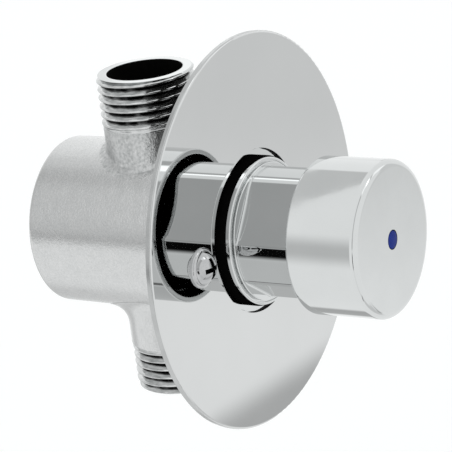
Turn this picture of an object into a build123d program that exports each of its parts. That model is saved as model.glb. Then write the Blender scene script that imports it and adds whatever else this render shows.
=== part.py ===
"""Concealed push timed tap: cast in-wall body, round wall plate, cartridge and push button.

All sizes are millimetres. The push axis is Y: the button faces -Y and a press moves it
towards +Y, into the wall. The port axis is Z. The origin lies on the push axis, in the
plane of the wall plate's back.
"""
from build123d import *
from math import asin, cos, degrees, pi, radians, sin, sqrt
import os

# Wall plate
plate_diameter = 84.0
plate_thickness = 1.2
plate_edge_round = 0.45
plate_hole_diameter = 34.8
plate_dish_diameter = 62.0
plate_dish_depth = 0.25

# Plate screws, one each side of the push axis
screw_circle_radius = 23.3
screw_shank_diameter = 3.9
screw_shank_length = 6.6
screw_head_diameter = 8.4
screw_head_height = 2.9
screw_head_edge = 0.8
screw_tip_chamfer = 0.5
cross_arm_length = 4.4
cross_arm_width = 1.0
cross_depth = 1.3
screw_hole_clearance = 0.35
screw_thread_clearance = 0.05

# Cast body
body_diameter = 37.0
body_rear_diameter = 36.0
body_rear_round = 1.0
body_wall = 3.0
collar_diameter = 42.0
collar_depth = 6.0
ear_radius = 5.2
spigot_clearance = 0.25
mouth_recess = 0.7

# Threaded ports, male G1/2
thread_diameter = 20.955
thread_chamfer = 0.9
port_bore_diameter = 16.0
port_depth = 22.0
inlet_neck_length = 5.0
inlet_thread_length = 11.0
inlet_neck_diameter = 20.5
inlet_root_round = 1.6
outlet_neck_length = 7.0
outlet_thread_length = 10.0
outlet_neck_diameter = 21.2
outlet_root_round = 4.5

# Waterways inside the body
web_thickness = 2.2
inlet_bore_depth = 17.0
inlet_passage_diameter = 14.6
channel_half_angle = 45.0
chamber_setback = 1.0
outlet_passage_diameter = 9.4
outlet_passage_margin = 2.0
outlet_bore_depth = 15.0

# Cartridge barrel
barrel_diameter = 28.0
barrel_reach = 21.5
barrel_edge = 0.6
barrel_bore_diameter = 21.0
tail_diameter = 27.6
tail_length = 11.0
mouth_thread_clearance = 0.2
flange_diameter = 31.2
flange_thickness = 1.2
flange_edge = 0.35
flange_collar_diameter = 29.2
flange_collar_height = 0.5
flange_collar_edge = 0.2
flange_groove_width = 0.35
flange_groove_depth = 0.3
flats_across = 24.6
flats_length = 4.0
flats_turn = 35.5
front_recess_diameter = 14.0
front_wall = 3.0
front_hole_diameter = 13.0

# Seal ring between body mouth and flange
seal_diameter = 31.8
seal_thickness = 1.9
seal_clearance = 0.3

# Guide bush in the barrel's front wall, with its seals and circlip
bush_clearance = 0.2
bush_flange_length = 3.0
bush_circlip_thickness = 1.0
bush_circlip_width = 1.6
bush_circlip_bite = 0.7
circlip_gap_angle = 40.0
stem_seal_section = 1.5
stem_seal_setback = 0.7
wiper_length = 1.3
bush_seal_section = 1.4
seal_fit = 0.05

# Stem and running fits
stem_diameter = 6.0
stem_chamfer = 0.5
stem_fit = 0.05
stem_pass_clearance = 0.3
stem_collar_diameter = 8.6
stem_collar_length = 1.5
stem_tail_diameter = 5.0
stem_tail_overrun = 0.3
stem_tail_clearance = 0.45
push_travel = 8.0
rest_gap = 0.3

# Timing piston with lip seal and clip
piston_length = 4.0
piston_clearance = 0.3
piston_groove_depth = 2.6
piston_groove_length = 2.2
piston_groove_setback = 0.9
lip_fit = 0.08
lip_thickness = 0.7
lip_root = 1.2
bleed_hole_diameter = 1.0
clip_thickness = 0.7
clip_diameter = 10.4
clip_bite = 0.5
clip_mouth_angle = 100.0

# Tail cage with seat
cage_flange_thickness = 2.0
cage_flange_clearance = 0.3
cage_clearance = 0.2
cage_wall = 2.2
cage_length = 14.6
cage_web_setback = 2.0
cage_web_thickness = 1.4
cage_window_count = 4
cage_window_width = 8.0
cage_window_margin = 1.0
cage_rear_wall = 3.2
flow_hole_diameter = 1.6
flow_hole_count = 6
flow_hole_margin = 0.4
cage_seal_section = 1.6
cage_seal_setback = 0.9
seat_bore_diameter = 11.6
seat_rim_width = 1.9
seat_depth = 1.8
seat_lip_height = 0.4
seat_fit = 0.05
seat_gap = 0.05

# Valve head behind the seat
valve_washer_diameter = 15.0
valve_washer_thickness = 2.3
holder_wall = 0.9
holder_base = 1.2
holder_rim_setback = 0.7
washer_fit = 0.05
tail_nut_thickness = 2.2
tail_nut_flats = 8.0

# Return spring
spring_wire = 1.3
spring_outer_diameter = 13.6
spring_turns = 6
spring_end_gap = 0.55
spring_ground_share = 0.25
spring_washer_thickness = 0.4
spring_washer_clearance = 0.3
spring_washer_lip = 0.2
steps_per_turn = 4

# Button cap
cap_diameter = 33.0
cap_length = 16.0
cap_stop_gap = 1.3
cap_wall = 1.2
cap_face_thickness = 2.2
cap_front_round = 1.8
cap_rim_round = 0.4
cap_boss_diameter = 12.0
cap_boss_length = 2.8
lock_nut_thickness = 1.8
lock_nut_flats = 9.0
lock_nut_gap = 1.7
dot_diameter = 3.8
dot_depth = 1.0
dot_rise = 0.15
dot_fit = 0.05

# Every cut runs past its faces by this much
overrun = 1.0

# Places along the push axis, front (negative) to back
y_plate_front = -plate_thickness
y_plate_seat = -plate_dish_depth
y_mouth = y_plate_front + mouth_recess
y_seal_front = y_mouth - seal_thickness
y_flange_front = y_seal_front - flange_thickness
y_collar_front = y_flange_front - flange_collar_height
y_flats_end = y_collar_front - flats_length
y_barrel_front = -barrel_reach
y_cap_inside = y_barrel_front - push_travel - cap_stop_gap
y_cap_face = y_cap_inside - cap_face_thickness
y_cap_rim = y_cap_face + cap_length
y_boss_back = y_cap_inside + cap_boss_length
y_lock_nut_back = y_boss_back + lock_nut_thickness
y_recess_floor = y_lock_nut_back + push_travel + lock_nut_gap
y_wall_back = y_recess_floor + front_wall
y_bush_back = y_wall_back + bush_flange_length
y_circlip_back = y_bush_back + bush_circlip_thickness
y_piston_front = y_circlip_back + rest_gap
y_piston_back = y_piston_front + piston_length
y_tail_end = tail_length
y_bore_step = y_tail_end + cage_flange_thickness
y_web_front = y_bore_step + cage_web_setback
y_spring_back = y_web_front - spring_washer_thickness
y_cage_end = y_bore_step + cage_length
y_seat = y_cage_end + seat_lip_height
y_washer_front = y_seat + seat_gap
y_washer_back = y_washer_front + valve_washer_thickness
y_holder_back = y_washer_back + holder_base
y_tail_nut_back = y_holder_back + tail_nut_thickness
y_stem_tail = y_tail_nut_back + stem_tail_overrun
y_chamber_front = y_cage_end + chamber_setback
y_chamber_back = y_stem_tail + push_travel + stem_tail_clearance
y_body_back = y_chamber_back + body_wall

# Radii that several pieces share
stem_radius = stem_diameter / 2
stem_guide_radius = stem_radius + stem_fit
barrel_radius = barrel_diameter / 2
barrel_bore_radius = barrel_bore_diameter / 2
mouth_bore_radius = tail_diameter / 2 + mouth_thread_clearance
cage_bore_radius = spring_outer_diameter / 2 + spring_washer_clearance
cage_radius = cage_bore_radius + cage_wall
central_bore_radius = cage_radius + cage_clearance
web_radius = central_bore_radius + web_thickness
chamber_radius = body_rear_diameter / 2 - body_wall
port_radius = thread_diameter / 2
inlet_reach = body_diameter / 2 + inlet_neck_length + inlet_thread_length
outlet_reach = body_diameter / 2 + outlet_neck_length + outlet_thread_length
port_bore_radius = port_bore_diameter / 2


def turned(*points):
    """Solid of revolution about the push axis from (radius, y) corner points."""
    face = make_face(Polyline(*points, close=True))
    return revolve(face, axis=Axis.Y)


def disc(radius, y_front, y_back):
    """Plain cylinder about the push axis."""
    return turned((0, y_front), (radius, y_front), (radius, y_back), (0, y_back))


def ring(inner, outer, y_front, y_back):
    """Plain tube about the push axis."""
    return turned((inner, y_front), (outer, y_front), (outer, y_back), (inner, y_back))


def post(radius, x, y, z_low, z_high):
    """Plain cylinder parallel to the port axis."""
    return Pos(x, y, (z_low + z_high) / 2) * Cylinder(radius, z_high - z_low)


def hexagon(across, bore, y_front, y_back):
    """Hexagonal nut about the push axis with a plain bore."""
    outline = Plane.XZ.offset(-y_back) * RegularPolygon(across / 2, 6, major_radius=False)
    blank = extrude(outline, y_back - y_front)
    return blank - disc(bore, y_front - overrun, y_back + overrun)


def torus_ring(section, inner, y_centre):
    """Round-section seal that lies on an inner radius about the push axis."""
    profile = Pos(inner + section / 2, y_centre) * Circle(section / 2)
    return revolve(profile, axis=Axis.Y)


def split_ring(inner, outer, y_front, y_back, mouth_angle):
    """Flat ring with an open mouth that faces +Z, as a circlip has."""
    blank = ring(inner, outer, y_front, y_back)
    half = radians(mouth_angle / 2)
    reach = (outer + overrun) / cos(half)
    edge_x = reach * sin(half)
    edge_z = reach * cos(half)
    mouth = make_face(Polyline((0, 0), (edge_x, edge_z), (-edge_x, edge_z), close=True))
    wedge = extrude(Plane.XZ.offset(-y_back - overrun) * mouth, y_back - y_front + 2 * overrun)
    return blank - wedge


def edges_at_y(shape, y, radius, slack):
    """Round edges of one radius that lie in one plane across the push axis."""
    found = []
    for edge in shape.edges().filter_by(GeomType.CIRCLE):
        if abs(edge.center(CenterOf.BOUNDING_BOX).Y - y) < slack and abs(edge.radius - radius) < slack:
            found.append(edge)
    return found


def make_wall_plate():
    """Thin round plate, dished behind so that its rim seats on the wall, with its three holes."""
    plate = ring(plate_hole_diameter / 2, plate_diameter / 2, y_plate_front, 0)
    plate -= disc(plate_dish_diameter / 2, y_plate_seat, overrun)
    plate = fillet(edges_at_y(plate, y_plate_front, plate_diameter / 2, spigot_clearance), plate_edge_round)
    hole = screw_shank_diameter / 2 + screw_hole_clearance
    for side in (-1, 1):
        plate -= Pos(side * screw_circle_radius, 0, 0) * disc(hole, y_plate_front - overrun, overrun)
    return plate


def make_plate_screw(side):
    """Pan-head screw with a crossed recess, seated on the plate and run into the body's ear."""
    radius = screw_head_diameter / 2
    flat = radius - screw_head_edge
    rise = screw_head_height - screw_head_edge
    dome_radius = (flat ** 2 + rise ** 2) / (2 * rise)
    half = asin(flat / dome_radius) / 2
    middle = (dome_radius * sin(half), -screw_head_height + dome_radius * (1 - cos(half)))
    dome = ThreePointArc((0, -screw_head_height), middle, (flat, -screw_head_edge))
    shoulder = ThreePointArc(
        (flat, -screw_head_edge),
        (flat + screw_head_edge * sin(pi / 4), -screw_head_edge * cos(pi / 4)),
        (radius, 0),
    )
    back = Polyline(
        (radius, 0),
        (screw_shank_diameter / 2, 0),
        (screw_shank_diameter / 2, screw_shank_length - screw_tip_chamfer),
        (screw_shank_diameter / 2 - screw_tip_chamfer, screw_shank_length),
        (0, screw_shank_length),
        (0, -screw_head_height),
    )
    screw = revolve(make_face([dome, shoulder, back]), axis=Axis.Y)
    for turn in (0, pi / 2):
        arm = Rot(0, degrees(turn), 0) * Box(cross_arm_length, 2 * cross_depth, cross_arm_width)
        screw -= Pos(0, -screw_head_height, 0) * arm
    return Pos(side * screw_circle_radius, y_plate_front, 0) * screw


def port_blank(reach, thread_length, neck_radius, sign):
    """Male port from the push axis outwards: cast neck, thread at its crest size, lead-in chamfer."""
    shoulder = reach - thread_length
    blank = post(neck_radius, 0, port_depth, 0, shoulder)
    thread = post(port_radius, 0, port_depth, shoulder, reach)
    ends = [edge for edge in thread.edges().filter_by(GeomType.CIRCLE)]
    blank += chamfer(ends, thread_chamfer)
    return blank if sign > 0 else Rot(180, 0, 0) * Pos(0, -2 * port_depth, 0) * blank


def make_body_outside():
    """Drafted barrel of the casting with its front collar, screw ears, spigot and two ports."""
    body = turned(
        (0, y_mouth),
        (plate_hole_diameter / 2 - spigot_clearance, y_mouth),
        (plate_hole_diameter / 2 - spigot_clearance, y_plate_seat),
        (collar_diameter / 2, y_plate_seat),
        (collar_diameter / 2, collar_depth),
        (body_diameter / 2, collar_depth),
        (body_rear_diameter / 2, y_body_back),
        (0, y_body_back),
    )
    body = fillet(edges_at_y(body, y_body_back, body_rear_diameter / 2, spigot_clearance), body_rear_round)
    inlet = port_blank(inlet_reach, inlet_thread_length, inlet_neck_diameter / 2, 1)
    outlet = port_blank(outlet_reach, outlet_thread_length, outlet_neck_diameter / 2, -1)
    for blank, radius, sign in ((inlet, inlet_root_round, 1), (outlet, outlet_root_round, -1)):
        body = body + blank
        seam = []
        for edge in body.edges():
            box = edge.bounding_box()
            centre = edge.center(CenterOf.BOUNDING_BOX)
            round_port = abs(centre.Y - port_depth) < overrun and abs(centre.X) < overrun
            inside = box.size.Z > overrun and box.size.X > port_radius and edge.geom_type != GeomType.CIRCLE
            if round_port and inside and sign * centre.Z > 0:
                seam.append(edge)
        body = fillet(seam, radius)
    ear_span = screw_circle_radius
    ear_length = collar_depth - y_plate_seat
    for side in (-1, 1):
        body += Pos(side * ear_span, 0, 0) * disc(ear_radius, y_plate_seat, collar_depth)
        arm = Box(ear_span, ear_length, 2 * ear_radius)
        body += Pos(side * ear_span / 2, y_plate_seat + ear_length / 2, 0) * arm
    return body


def make_valve_body():
    """Casting with its stepped mouth bore, rear chamber, inlet channel and outlet passage."""
    body = make_body_outside()
    body -= disc(mouth_bore_radius, y_mouth - overrun, y_bore_step)
    body -= disc(central_bore_radius, y_bore_step - overrun, y_chamber_front + overrun)
    body -= disc(chamber_radius, y_chamber_front, y_chamber_back)
    web = disc(web_radius, 0, y_body_back)
    body -= post(inlet_passage_diameter / 2, 0, port_depth, 0, inlet_reach) - web
    body -= post(port_bore_radius, 0, port_depth, inlet_reach - inlet_bore_depth, inlet_reach + overrun)
    half = channel_half_angle
    channel = ring(web_radius, chamber_radius, port_depth - port_bore_radius, y_chamber_front + overrun)
    reach = body_diameter
    sector = Polyline(
        (0, 0),
        (-reach * sin(radians(half)), reach * cos(radians(half))),
        (reach * sin(radians(half)), reach * cos(radians(half))),
        close=True,
    )
    body -= channel & extrude(Plane.XZ.offset(-y_body_back) * make_face(sector), y_body_back)
    body -= post(port_bore_radius, 0, port_depth, -outlet_reach - overrun, -outlet_reach + outlet_bore_depth)
    y_passage = y_bore_step + outlet_passage_margin + outlet_passage_diameter / 2
    body -= post(outlet_passage_diameter / 2, 0, y_passage, -outlet_reach + outlet_bore_depth - overrun, 0)
    hole_radius = screw_shank_diameter / 2 + screw_thread_clearance
    hole = disc(hole_radius, y_plate_seat - overrun, collar_depth + overrun)
    for side in (-1, 1):
        body -= Pos(side * screw_circle_radius, 0, 0) * hole
    return body


def make_cartridge_barrel():
    """Turned barrel: guide nose, spanner flats, grooved flange and threaded tail, bored for the piston."""
    flange = flange_diameter / 2
    collar = flange_collar_diameter / 2
    groove_out = collar + flange_groove_width
    outline = turned(
        (front_hole_diameter / 2, y_wall_back),
        (front_hole_diameter / 2, y_recess_floor),
        (front_recess_diameter / 2, y_recess_floor),
        (front_recess_diameter / 2, y_barrel_front),
        (barrel_radius - barrel_edge, y_barrel_front),
        (barrel_radius, y_barrel_front + barrel_edge),
        (barrel_radius, y_collar_front),
        (collar - flange_collar_edge, y_collar_front),
        (collar, y_collar_front + flange_collar_edge),
        (collar, y_flange_front + flange_groove_depth),
        (groove_out, y_flange_front + flange_groove_depth),
        (groove_out, y_flange_front),
        (flange - flange_edge, y_flange_front),
        (flange, y_flange_front + flange_edge),
        (flange, y_seal_front),
        (tail_diameter / 2, y_seal_front),
        (tail_diameter / 2, y_tail_end),
        (barrel_bore_radius, y_tail_end),
        (barrel_bore_radius, y_wall_back),
    )
    keep = disc(barrel_radius + overrun, y_flats_end, y_collar_front)
    section = Plane.XZ.offset(-y_collar_front - overrun) * Rectangle(flats_across, flats_across)
    square = extrude(section, flats_length + 2 * overrun)
    outline -= keep - Rot(0, flats_turn, 0) * square
    groove = barrel_bore_radius + bush_circlip_bite
    return outline - ring(barrel_bore_radius - overrun, groove, y_bush_back, y_circlip_back)


def make_mouth_seal_ring():
    """Flat rubber ring squeezed between the body mouth and the barrel's flange."""
    return ring(tail_diameter / 2 + seal_clearance, seal_diameter / 2, y_seal_front, y_mouth)


def make_guide_bush():
    """Flanged bush that guides the stem, grooved for its seals."""
    shank = front_hole_diameter / 2 - bush_clearance
    flange = barrel_bore_radius - bush_clearance
    seal_front = y_bush_back - stem_seal_setback - stem_seal_section
    bush = turned(
        (stem_guide_radius, y_recess_floor),
        (shank, y_recess_floor),
        (shank, y_wall_back),
        (flange, y_wall_back),
        (flange, y_bush_back),
        (stem_guide_radius, y_bush_back),
    )
    pocket = stem_guide_radius + stem_seal_section
    bush -= ring(stem_radius, pocket, seal_front, seal_front + stem_seal_section)
    bush -= ring(stem_radius, pocket, y_recess_floor - overrun, y_recess_floor + wiper_length)
    groove_front = (y_wall_back + y_bush_back - bush_seal_section) / 2
    floor = barrel_bore_radius - seal_fit - bush_seal_section
    return bush - ring(floor, flange + overrun, groove_front, groove_front + bush_seal_section)


def make_bush_seal():
    """Round seal between bush and barrel bore."""
    floor = barrel_bore_radius - seal_fit - bush_seal_section
    return torus_ring(bush_seal_section, floor, (y_wall_back + y_bush_back) / 2)


def make_stem_seal():
    """Round seal on the stem, held in the bush."""
    y_centre = y_bush_back - stem_seal_setback - stem_seal_section / 2
    return torus_ring(stem_seal_section, stem_guide_radius, y_centre)


def make_stem_wiper():
    """Wiper ring with a sharp front lip at the bush's outer end."""
    outer = stem_guide_radius + stem_seal_section - seal_fit
    return turned(
        (stem_guide_radius, y_recess_floor),
        (stem_guide_radius + stem_seal_section / 3, y_recess_floor),
        (outer - stem_seal_section / 3, y_recess_floor + wiper_length / 2),
        (outer, y_recess_floor + wiper_length / 2),
        (outer, y_recess_floor + wiper_length),
        (stem_guide_radius, y_recess_floor + wiper_length),
    )


def make_bush_circlip():
    """Circlip that holds the bush in the barrel bore."""
    outer = barrel_bore_radius + bush_circlip_bite - stem_fit
    return split_ring(outer - bush_circlip_width, outer, y_bush_back, y_circlip_back, circlip_gap_angle)


def make_tail_cage():
    """Cage behind the barrel: spring web with flow holes, outlet windows, seal groove and seat pocket."""
    flange = mouth_bore_radius - cage_flange_clearance
    pocket = seat_bore_diameter / 2 + seat_rim_width
    cage = turned(
        (cage_bore_radius, y_tail_end),
        (flange, y_tail_end),
        (flange, y_bore_step),
        (cage_radius, y_bore_step),
        (cage_radius, y_cage_end),
        (pocket, y_cage_end),
        (pocket, y_seat - seat_depth),
        (seat_bore_diameter / 2, y_seat - seat_depth),
        (seat_bore_diameter / 2, y_cage_end - cage_rear_wall),
        (cage_bore_radius, y_cage_end - cage_rear_wall),
    )
    web_back = y_web_front + cage_web_thickness
    cage += ring(stem_radius + stem_pass_clearance, cage_bore_radius + cage_wall / 2, y_web_front, web_back)
    hole_circle = stem_radius + stem_pass_clearance + flow_hole_margin + flow_hole_diameter / 2
    for index in range(flow_hole_count):
        angle = 2 * pi * index / flow_hole_count
        hole = disc(flow_hole_diameter / 2, y_web_front - overrun, web_back + overrun)
        cage -= Pos(hole_circle * cos(angle), 0, hole_circle * sin(angle)) * hole
    window_front = web_back + cage_window_margin
    window_back = y_cage_end - cage_rear_wall - cage_window_margin
    middle = (window_front + window_back) / 2
    for index in range(cage_window_count):
        cutter = Box(2 * cage_wall + cage_clearance, window_back - window_front, cage_window_width)
        window = Pos(cage_radius, middle, 0) * cutter
        cage -= Rot(0, 360 * index / cage_window_count, 0) * window
    groove_back = y_cage_end - cage_seal_setback
    groove_floor = central_bore_radius - seal_fit - cage_seal_section
    return cage - ring(groove_floor, cage_radius + overrun, groove_back - cage_seal_section, groove_back)


def make_cage_seal():
    """Round seal between the cage and the body's central bore."""
    floor = central_bore_radius - seal_fit - cage_seal_section
    return torus_ring(cage_seal_section, floor, y_cage_end - cage_seal_setback - cage_seal_section / 2)


def make_seat_ring():
    """Hard seat pressed into the cage's back, with a raised lip for the valve washer."""
    inner = seat_bore_diameter / 2
    outer = inner + seat_rim_width - seat_fit
    return turned(
        (inner, y_seat - seat_depth),
        (outer, y_seat - seat_depth),
        (outer, y_cage_end),
        (inner + seat_rim_width / 2, y_seat),
        (inner + seat_rim_width / 4, y_seat),
        (inner, y_cage_end),
    )


def make_spring_washer():
    """Thin washer that the return spring stands on."""
    outer = cage_bore_radius - spring_washer_clearance / 2
    inner = spring_outer_diameter / 2 - spring_wire - spring_washer_lip
    return ring(inner, outer, y_spring_back, y_web_front)


def biarc(start, start_way, end, end_way):
    """Two arcs that leave start and reach end along the given unit directions."""
    chord = end - start
    ways = start_way + end_way
    closing = 1 - start_way.dot(end_way)
    along = chord.dot(ways)
    step = (sqrt(along ** 2 + 2 * closing * chord.dot(chord)) - along) / (2 * closing)
    middle = (start + end + (start_way - end_way) * step) * (1 / 2)
    middle_way = (middle - start) * (1 / step) - start_way
    first = TangentArc(start, middle, tangent=start_way)
    return [first, TangentArc(middle, end, tangent=middle_way.normalized())]


def spring_point(turn, y_front, y_back):
    """Centre-line point after a number of turns; the first and last turns close up."""
    radius = (spring_outer_diameter - spring_wire) / 2
    closed = spring_wire + spring_end_gap
    open_pitch = (y_back - y_front - 2 * closed) / (spring_turns - 2)
    if turn <= 1:
        y = y_front + closed * turn
    elif turn >= spring_turns - 1:
        y = y_back - closed * (spring_turns - turn)
    else:
        y = y_front + closed + open_pitch * (turn - 1)
    angle = 2 * pi * turn
    return Vector(radius * cos(angle), y, radius * sin(angle))


def spring_way(turn, y_front, y_back):
    """Unit direction of the spring's centre line, taken over a short step each way."""
    step = 1 / 64
    way = spring_point(turn + step, y_front, y_back) - spring_point(turn - step, y_front, y_back)
    return way.normalized()


def make_return_spring():
    """Compression spring, one unbroken tube with ground ends, from the cage's washer to the piston."""
    bite = spring_wire * (1 / 2 - spring_ground_share)
    y_front = y_piston_back + bite
    y_back = y_spring_back - bite
    count = spring_turns * steps_per_turn
    path = []
    for index in range(count):
        here = index / steps_per_turn
        there = (index + 1) / steps_per_turn
        path += biarc(
            spring_point(here, y_front, y_back),
            spring_way(here, y_front, y_back),
            spring_point(there, y_front, y_back),
            spring_way(there, y_front, y_back),
        )
    wire = Wire(path)
    start = Plane(origin=wire @ 0, z_dir=wire % 0)
    tube = sweep(start * Circle(spring_wire / 2), path=wire)
    samples = [spring_point(step / 36, y_front, y_back) for step in range(36 * spring_turns + 1)]
    least = min(
        (samples[i] - samples[j]).length
        for i in range(len(samples))
        for j in range(i + 18, len(samples))
    )
    print("return spring: least gap to itself", round(least - spring_wire, 2), "mm")
    slab = disc(spring_outer_diameter, y_piston_back, y_spring_back)
    return tube & slab


def make_stem():
    """Push rod: threaded nose in the cap, piston collar, and a thinner tail that carries the valve head."""
    nose = y_cap_inside
    tail = stem_tail_diameter / 2
    stem = turned(
        (0, nose),
        (stem_radius - stem_chamfer, nose),
        (stem_radius, nose + stem_chamfer),
        (stem_radius, y_piston_back),
        (stem_collar_diameter / 2, y_piston_back),
        (stem_collar_diameter / 2, y_piston_back + stem_collar_length),
        (stem_radius, y_piston_back + stem_collar_length),
        (stem_radius, y_washer_front),
        (tail, y_washer_front),
        (tail, y_stem_tail - stem_chamfer),
        (tail - stem_chamfer, y_stem_tail),
        (0, y_stem_tail),
    )
    groove_front = y_piston_front - clip_thickness
    return stem - ring(stem_radius - clip_bite, stem_radius + overrun, groove_front, y_piston_front)


def make_timing_piston():
    """Dashpot piston with its seal groove and one small bleed hole."""
    outer = barrel_bore_radius - piston_clearance
    piston = ring(stem_guide_radius, outer, y_piston_front, y_piston_back)
    groove_front = y_piston_front + piston_groove_setback
    floor = outer - piston_groove_depth
    piston -= ring(floor, outer + overrun, groove_front, groove_front + piston_groove_length)
    bleed_circle = (stem_collar_diameter / 2 + floor) / 2
    bleed = disc(bleed_hole_diameter / 2, y_piston_front - overrun, y_piston_back + overrun)
    return piston - Pos(0, 0, bleed_circle) * bleed


def make_piston_lip_seal():
    """Cup seal in the piston's groove; its lip leans forward and lets water in but not out."""
    floor = barrel_bore_radius - piston_clearance - piston_groove_depth
    lip = barrel_bore_radius - lip_fit
    front = y_piston_front + piston_groove_setback
    back = front + piston_groove_length
    return turned(
        (floor, front),
        (floor + lip_root, front),
        (floor + lip_root, back - lip_root),
        (lip - lip_thickness, front),
        (lip, front),
        (lip - lip_thickness / 2, back),
        (floor, back),
    )


def make_piston_clip():
    """Open clip in the stem's groove that keeps the piston against its collar."""
    return split_ring(
        stem_radius - clip_bite,
        clip_diameter / 2,
        y_piston_front - clip_thickness,
        y_piston_front,
        clip_mouth_angle,
    )


def make_valve_washer():
    """Rubber disc that closes on the seat from behind."""
    return ring(stem_tail_diameter / 2 + washer_fit, valve_washer_diameter / 2, y_washer_front, y_washer_back)


def make_valve_holder():
    """Shallow metal cup that backs the valve washer."""
    bore = stem_tail_diameter / 2 + washer_fit
    inner = valve_washer_diameter / 2 + washer_fit
    outer = inner + holder_wall
    return turned(
        (bore, y_washer_back),
        (inner, y_washer_back),
        (inner, y_washer_front + holder_rim_setback),
        (outer, y_washer_front + holder_rim_setback),
        (outer, y_holder_back),
        (bore, y_holder_back),
    )


def make_tail_nut():
    """Thin nut on the stem's tail."""
    return hexagon(tail_nut_flats, stem_tail_diameter / 2 + washer_fit, y_holder_back, y_tail_nut_back)


def make_button_cap():
    """Turned button, open behind, with a soft front edge and a boss for the stem."""
    outer = cap_diameter / 2
    inner = outer - cap_wall
    boss = cap_boss_diameter / 2
    cap = turned(
        (0, y_cap_face),
        (outer, y_cap_face),
        (outer, y_cap_rim),
        (inner, y_cap_rim),
        (inner, y_cap_inside),
        (boss, y_cap_inside),
        (boss, y_boss_back),
        (stem_guide_radius, y_boss_back),
        (stem_guide_radius, y_cap_inside),
        (0, y_cap_inside),
    )
    cap = fillet(edges_at_y(cap, y_cap_face, outer, spigot_clearance), cap_front_round)
    cap = fillet(edges_at_y(cap, y_cap_rim, outer, spigot_clearance), cap_rim_round)
    return cap - disc(dot_diameter / 2 + dot_fit, y_cap_face - overrun, y_cap_face + dot_depth)


def make_cap_lock_nut():
    """Thin nut that locks the stem in the cap's boss."""
    return hexagon(lock_nut_flats, stem_guide_radius, y_boss_back, y_lock_nut_back)


def make_index_dot():
    """Coloured plug in the middle of the button's face, faintly domed."""
    radius = dot_diameter / 2
    y_edge = y_cap_face
    dome_radius = (radius ** 2 + dot_rise ** 2) / (2 * dot_rise)
    half = asin(radius / dome_radius) / 2
    middle = (dome_radius * sin(half), y_edge - dot_rise + dome_radius * (1 - cos(half)))
    dome = ThreePointArc((0, y_edge - dot_rise), middle, (radius, y_edge))
    y_back = y_edge + dot_depth
    back = Polyline((radius, y_edge), (radius, y_back), (0, y_back), (0, y_edge - dot_rise))
    return revolve(make_face([dome, back]), axis=Axis.Y)


pieces = {
    "valve_body": make_valve_body,
    "wall_plate": make_wall_plate,
    "mouth_seal_ring": make_mouth_seal_ring,
    "cartridge_barrel": make_cartridge_barrel,
    "guide_bush": make_guide_bush,
    "bush_seal": make_bush_seal,
    "bush_circlip": make_bush_circlip,
    "stem_seal": make_stem_seal,
    "stem_wiper": make_stem_wiper,
    "tail_cage": make_tail_cage,
    "cage_seal": make_cage_seal,
    "seat_ring": make_seat_ring,
    "spring_washer": make_spring_washer,
    "return_spring": make_return_spring,
    "button_cap": make_button_cap,
    "index_dot": make_index_dot,
    "cap_lock_nut": make_cap_lock_nut,
    "stem": make_stem,
    "timing_piston": make_timing_piston,
    "piston_lip_seal": make_piston_lip_seal,
    "piston_clip": make_piston_clip,
    "valve_washer": make_valve_washer,
    "valve_holder": make_valve_holder,
    "tail_nut": make_tail_nut,
}

os.makedirs("parts", exist_ok=True)
for node, make in pieces.items():
    export_step(make(), f"parts/{node}.step")
for node, side in (("plate_screw_near", -1), ("plate_screw_far", 1)):
    export_step(make_plate_screw(side), f"parts/{node}.step")
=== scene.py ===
"""Looks of a concealed push timed tap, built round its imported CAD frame.

Lengths in the dataclass fields are millimetres in the frame of the CAD: the push axis is Y, the button
faces -Y, and Z is up along the ports. Meshes are worked out in millimetres and stored in metres.
"""
from __future__ import annotations

import logging
from collections.abc import Iterator
from contextlib import contextmanager
from dataclasses import dataclass
from enum import Enum
from math import cos, pi, radians, sin, sqrt

import bmesh
import bpy
import numpy as np
from mathutils import Matrix, Vector


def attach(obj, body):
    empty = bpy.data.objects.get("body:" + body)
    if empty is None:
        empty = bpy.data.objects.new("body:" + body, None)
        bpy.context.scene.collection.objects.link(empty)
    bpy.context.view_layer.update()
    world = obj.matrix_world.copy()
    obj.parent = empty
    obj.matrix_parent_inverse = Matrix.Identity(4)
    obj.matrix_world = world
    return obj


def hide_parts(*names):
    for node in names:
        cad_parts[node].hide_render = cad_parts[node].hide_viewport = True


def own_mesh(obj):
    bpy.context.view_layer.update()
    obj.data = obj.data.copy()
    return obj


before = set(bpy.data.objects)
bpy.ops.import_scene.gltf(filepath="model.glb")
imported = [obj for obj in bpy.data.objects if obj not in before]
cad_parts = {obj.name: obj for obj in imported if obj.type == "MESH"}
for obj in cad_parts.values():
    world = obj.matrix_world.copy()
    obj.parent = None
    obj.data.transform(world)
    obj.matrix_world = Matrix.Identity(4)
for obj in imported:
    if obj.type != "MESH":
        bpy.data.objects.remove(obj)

LOG = logging.getLogger("push_tap")
MM = 0.001
FULL_TURN = 2 * pi
SHARP_ANGLE = radians(32)
WELD = 1e-6
TINY = 1e-6
VALVE = "valve"
BUTTON = "button"
METAL = 1.0
WHITE = (1.0, 1.0, 1.0, 1.0)
NOISE_SPAN = (0.3, 0.7)

# Places that more than one sub-assembly or mask shares
PORT_DEPTH = 22.0
PORT_BORE_RADIUS = 8.0
CAP_FACE = -33.0
SCREW_FROM_AXIS = 23.3
SCREW_TOP = -4.1
SCREW_DOME = 3.8
SCREW_RECESS_RADIUS = 2.35


# Surfaces


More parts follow.
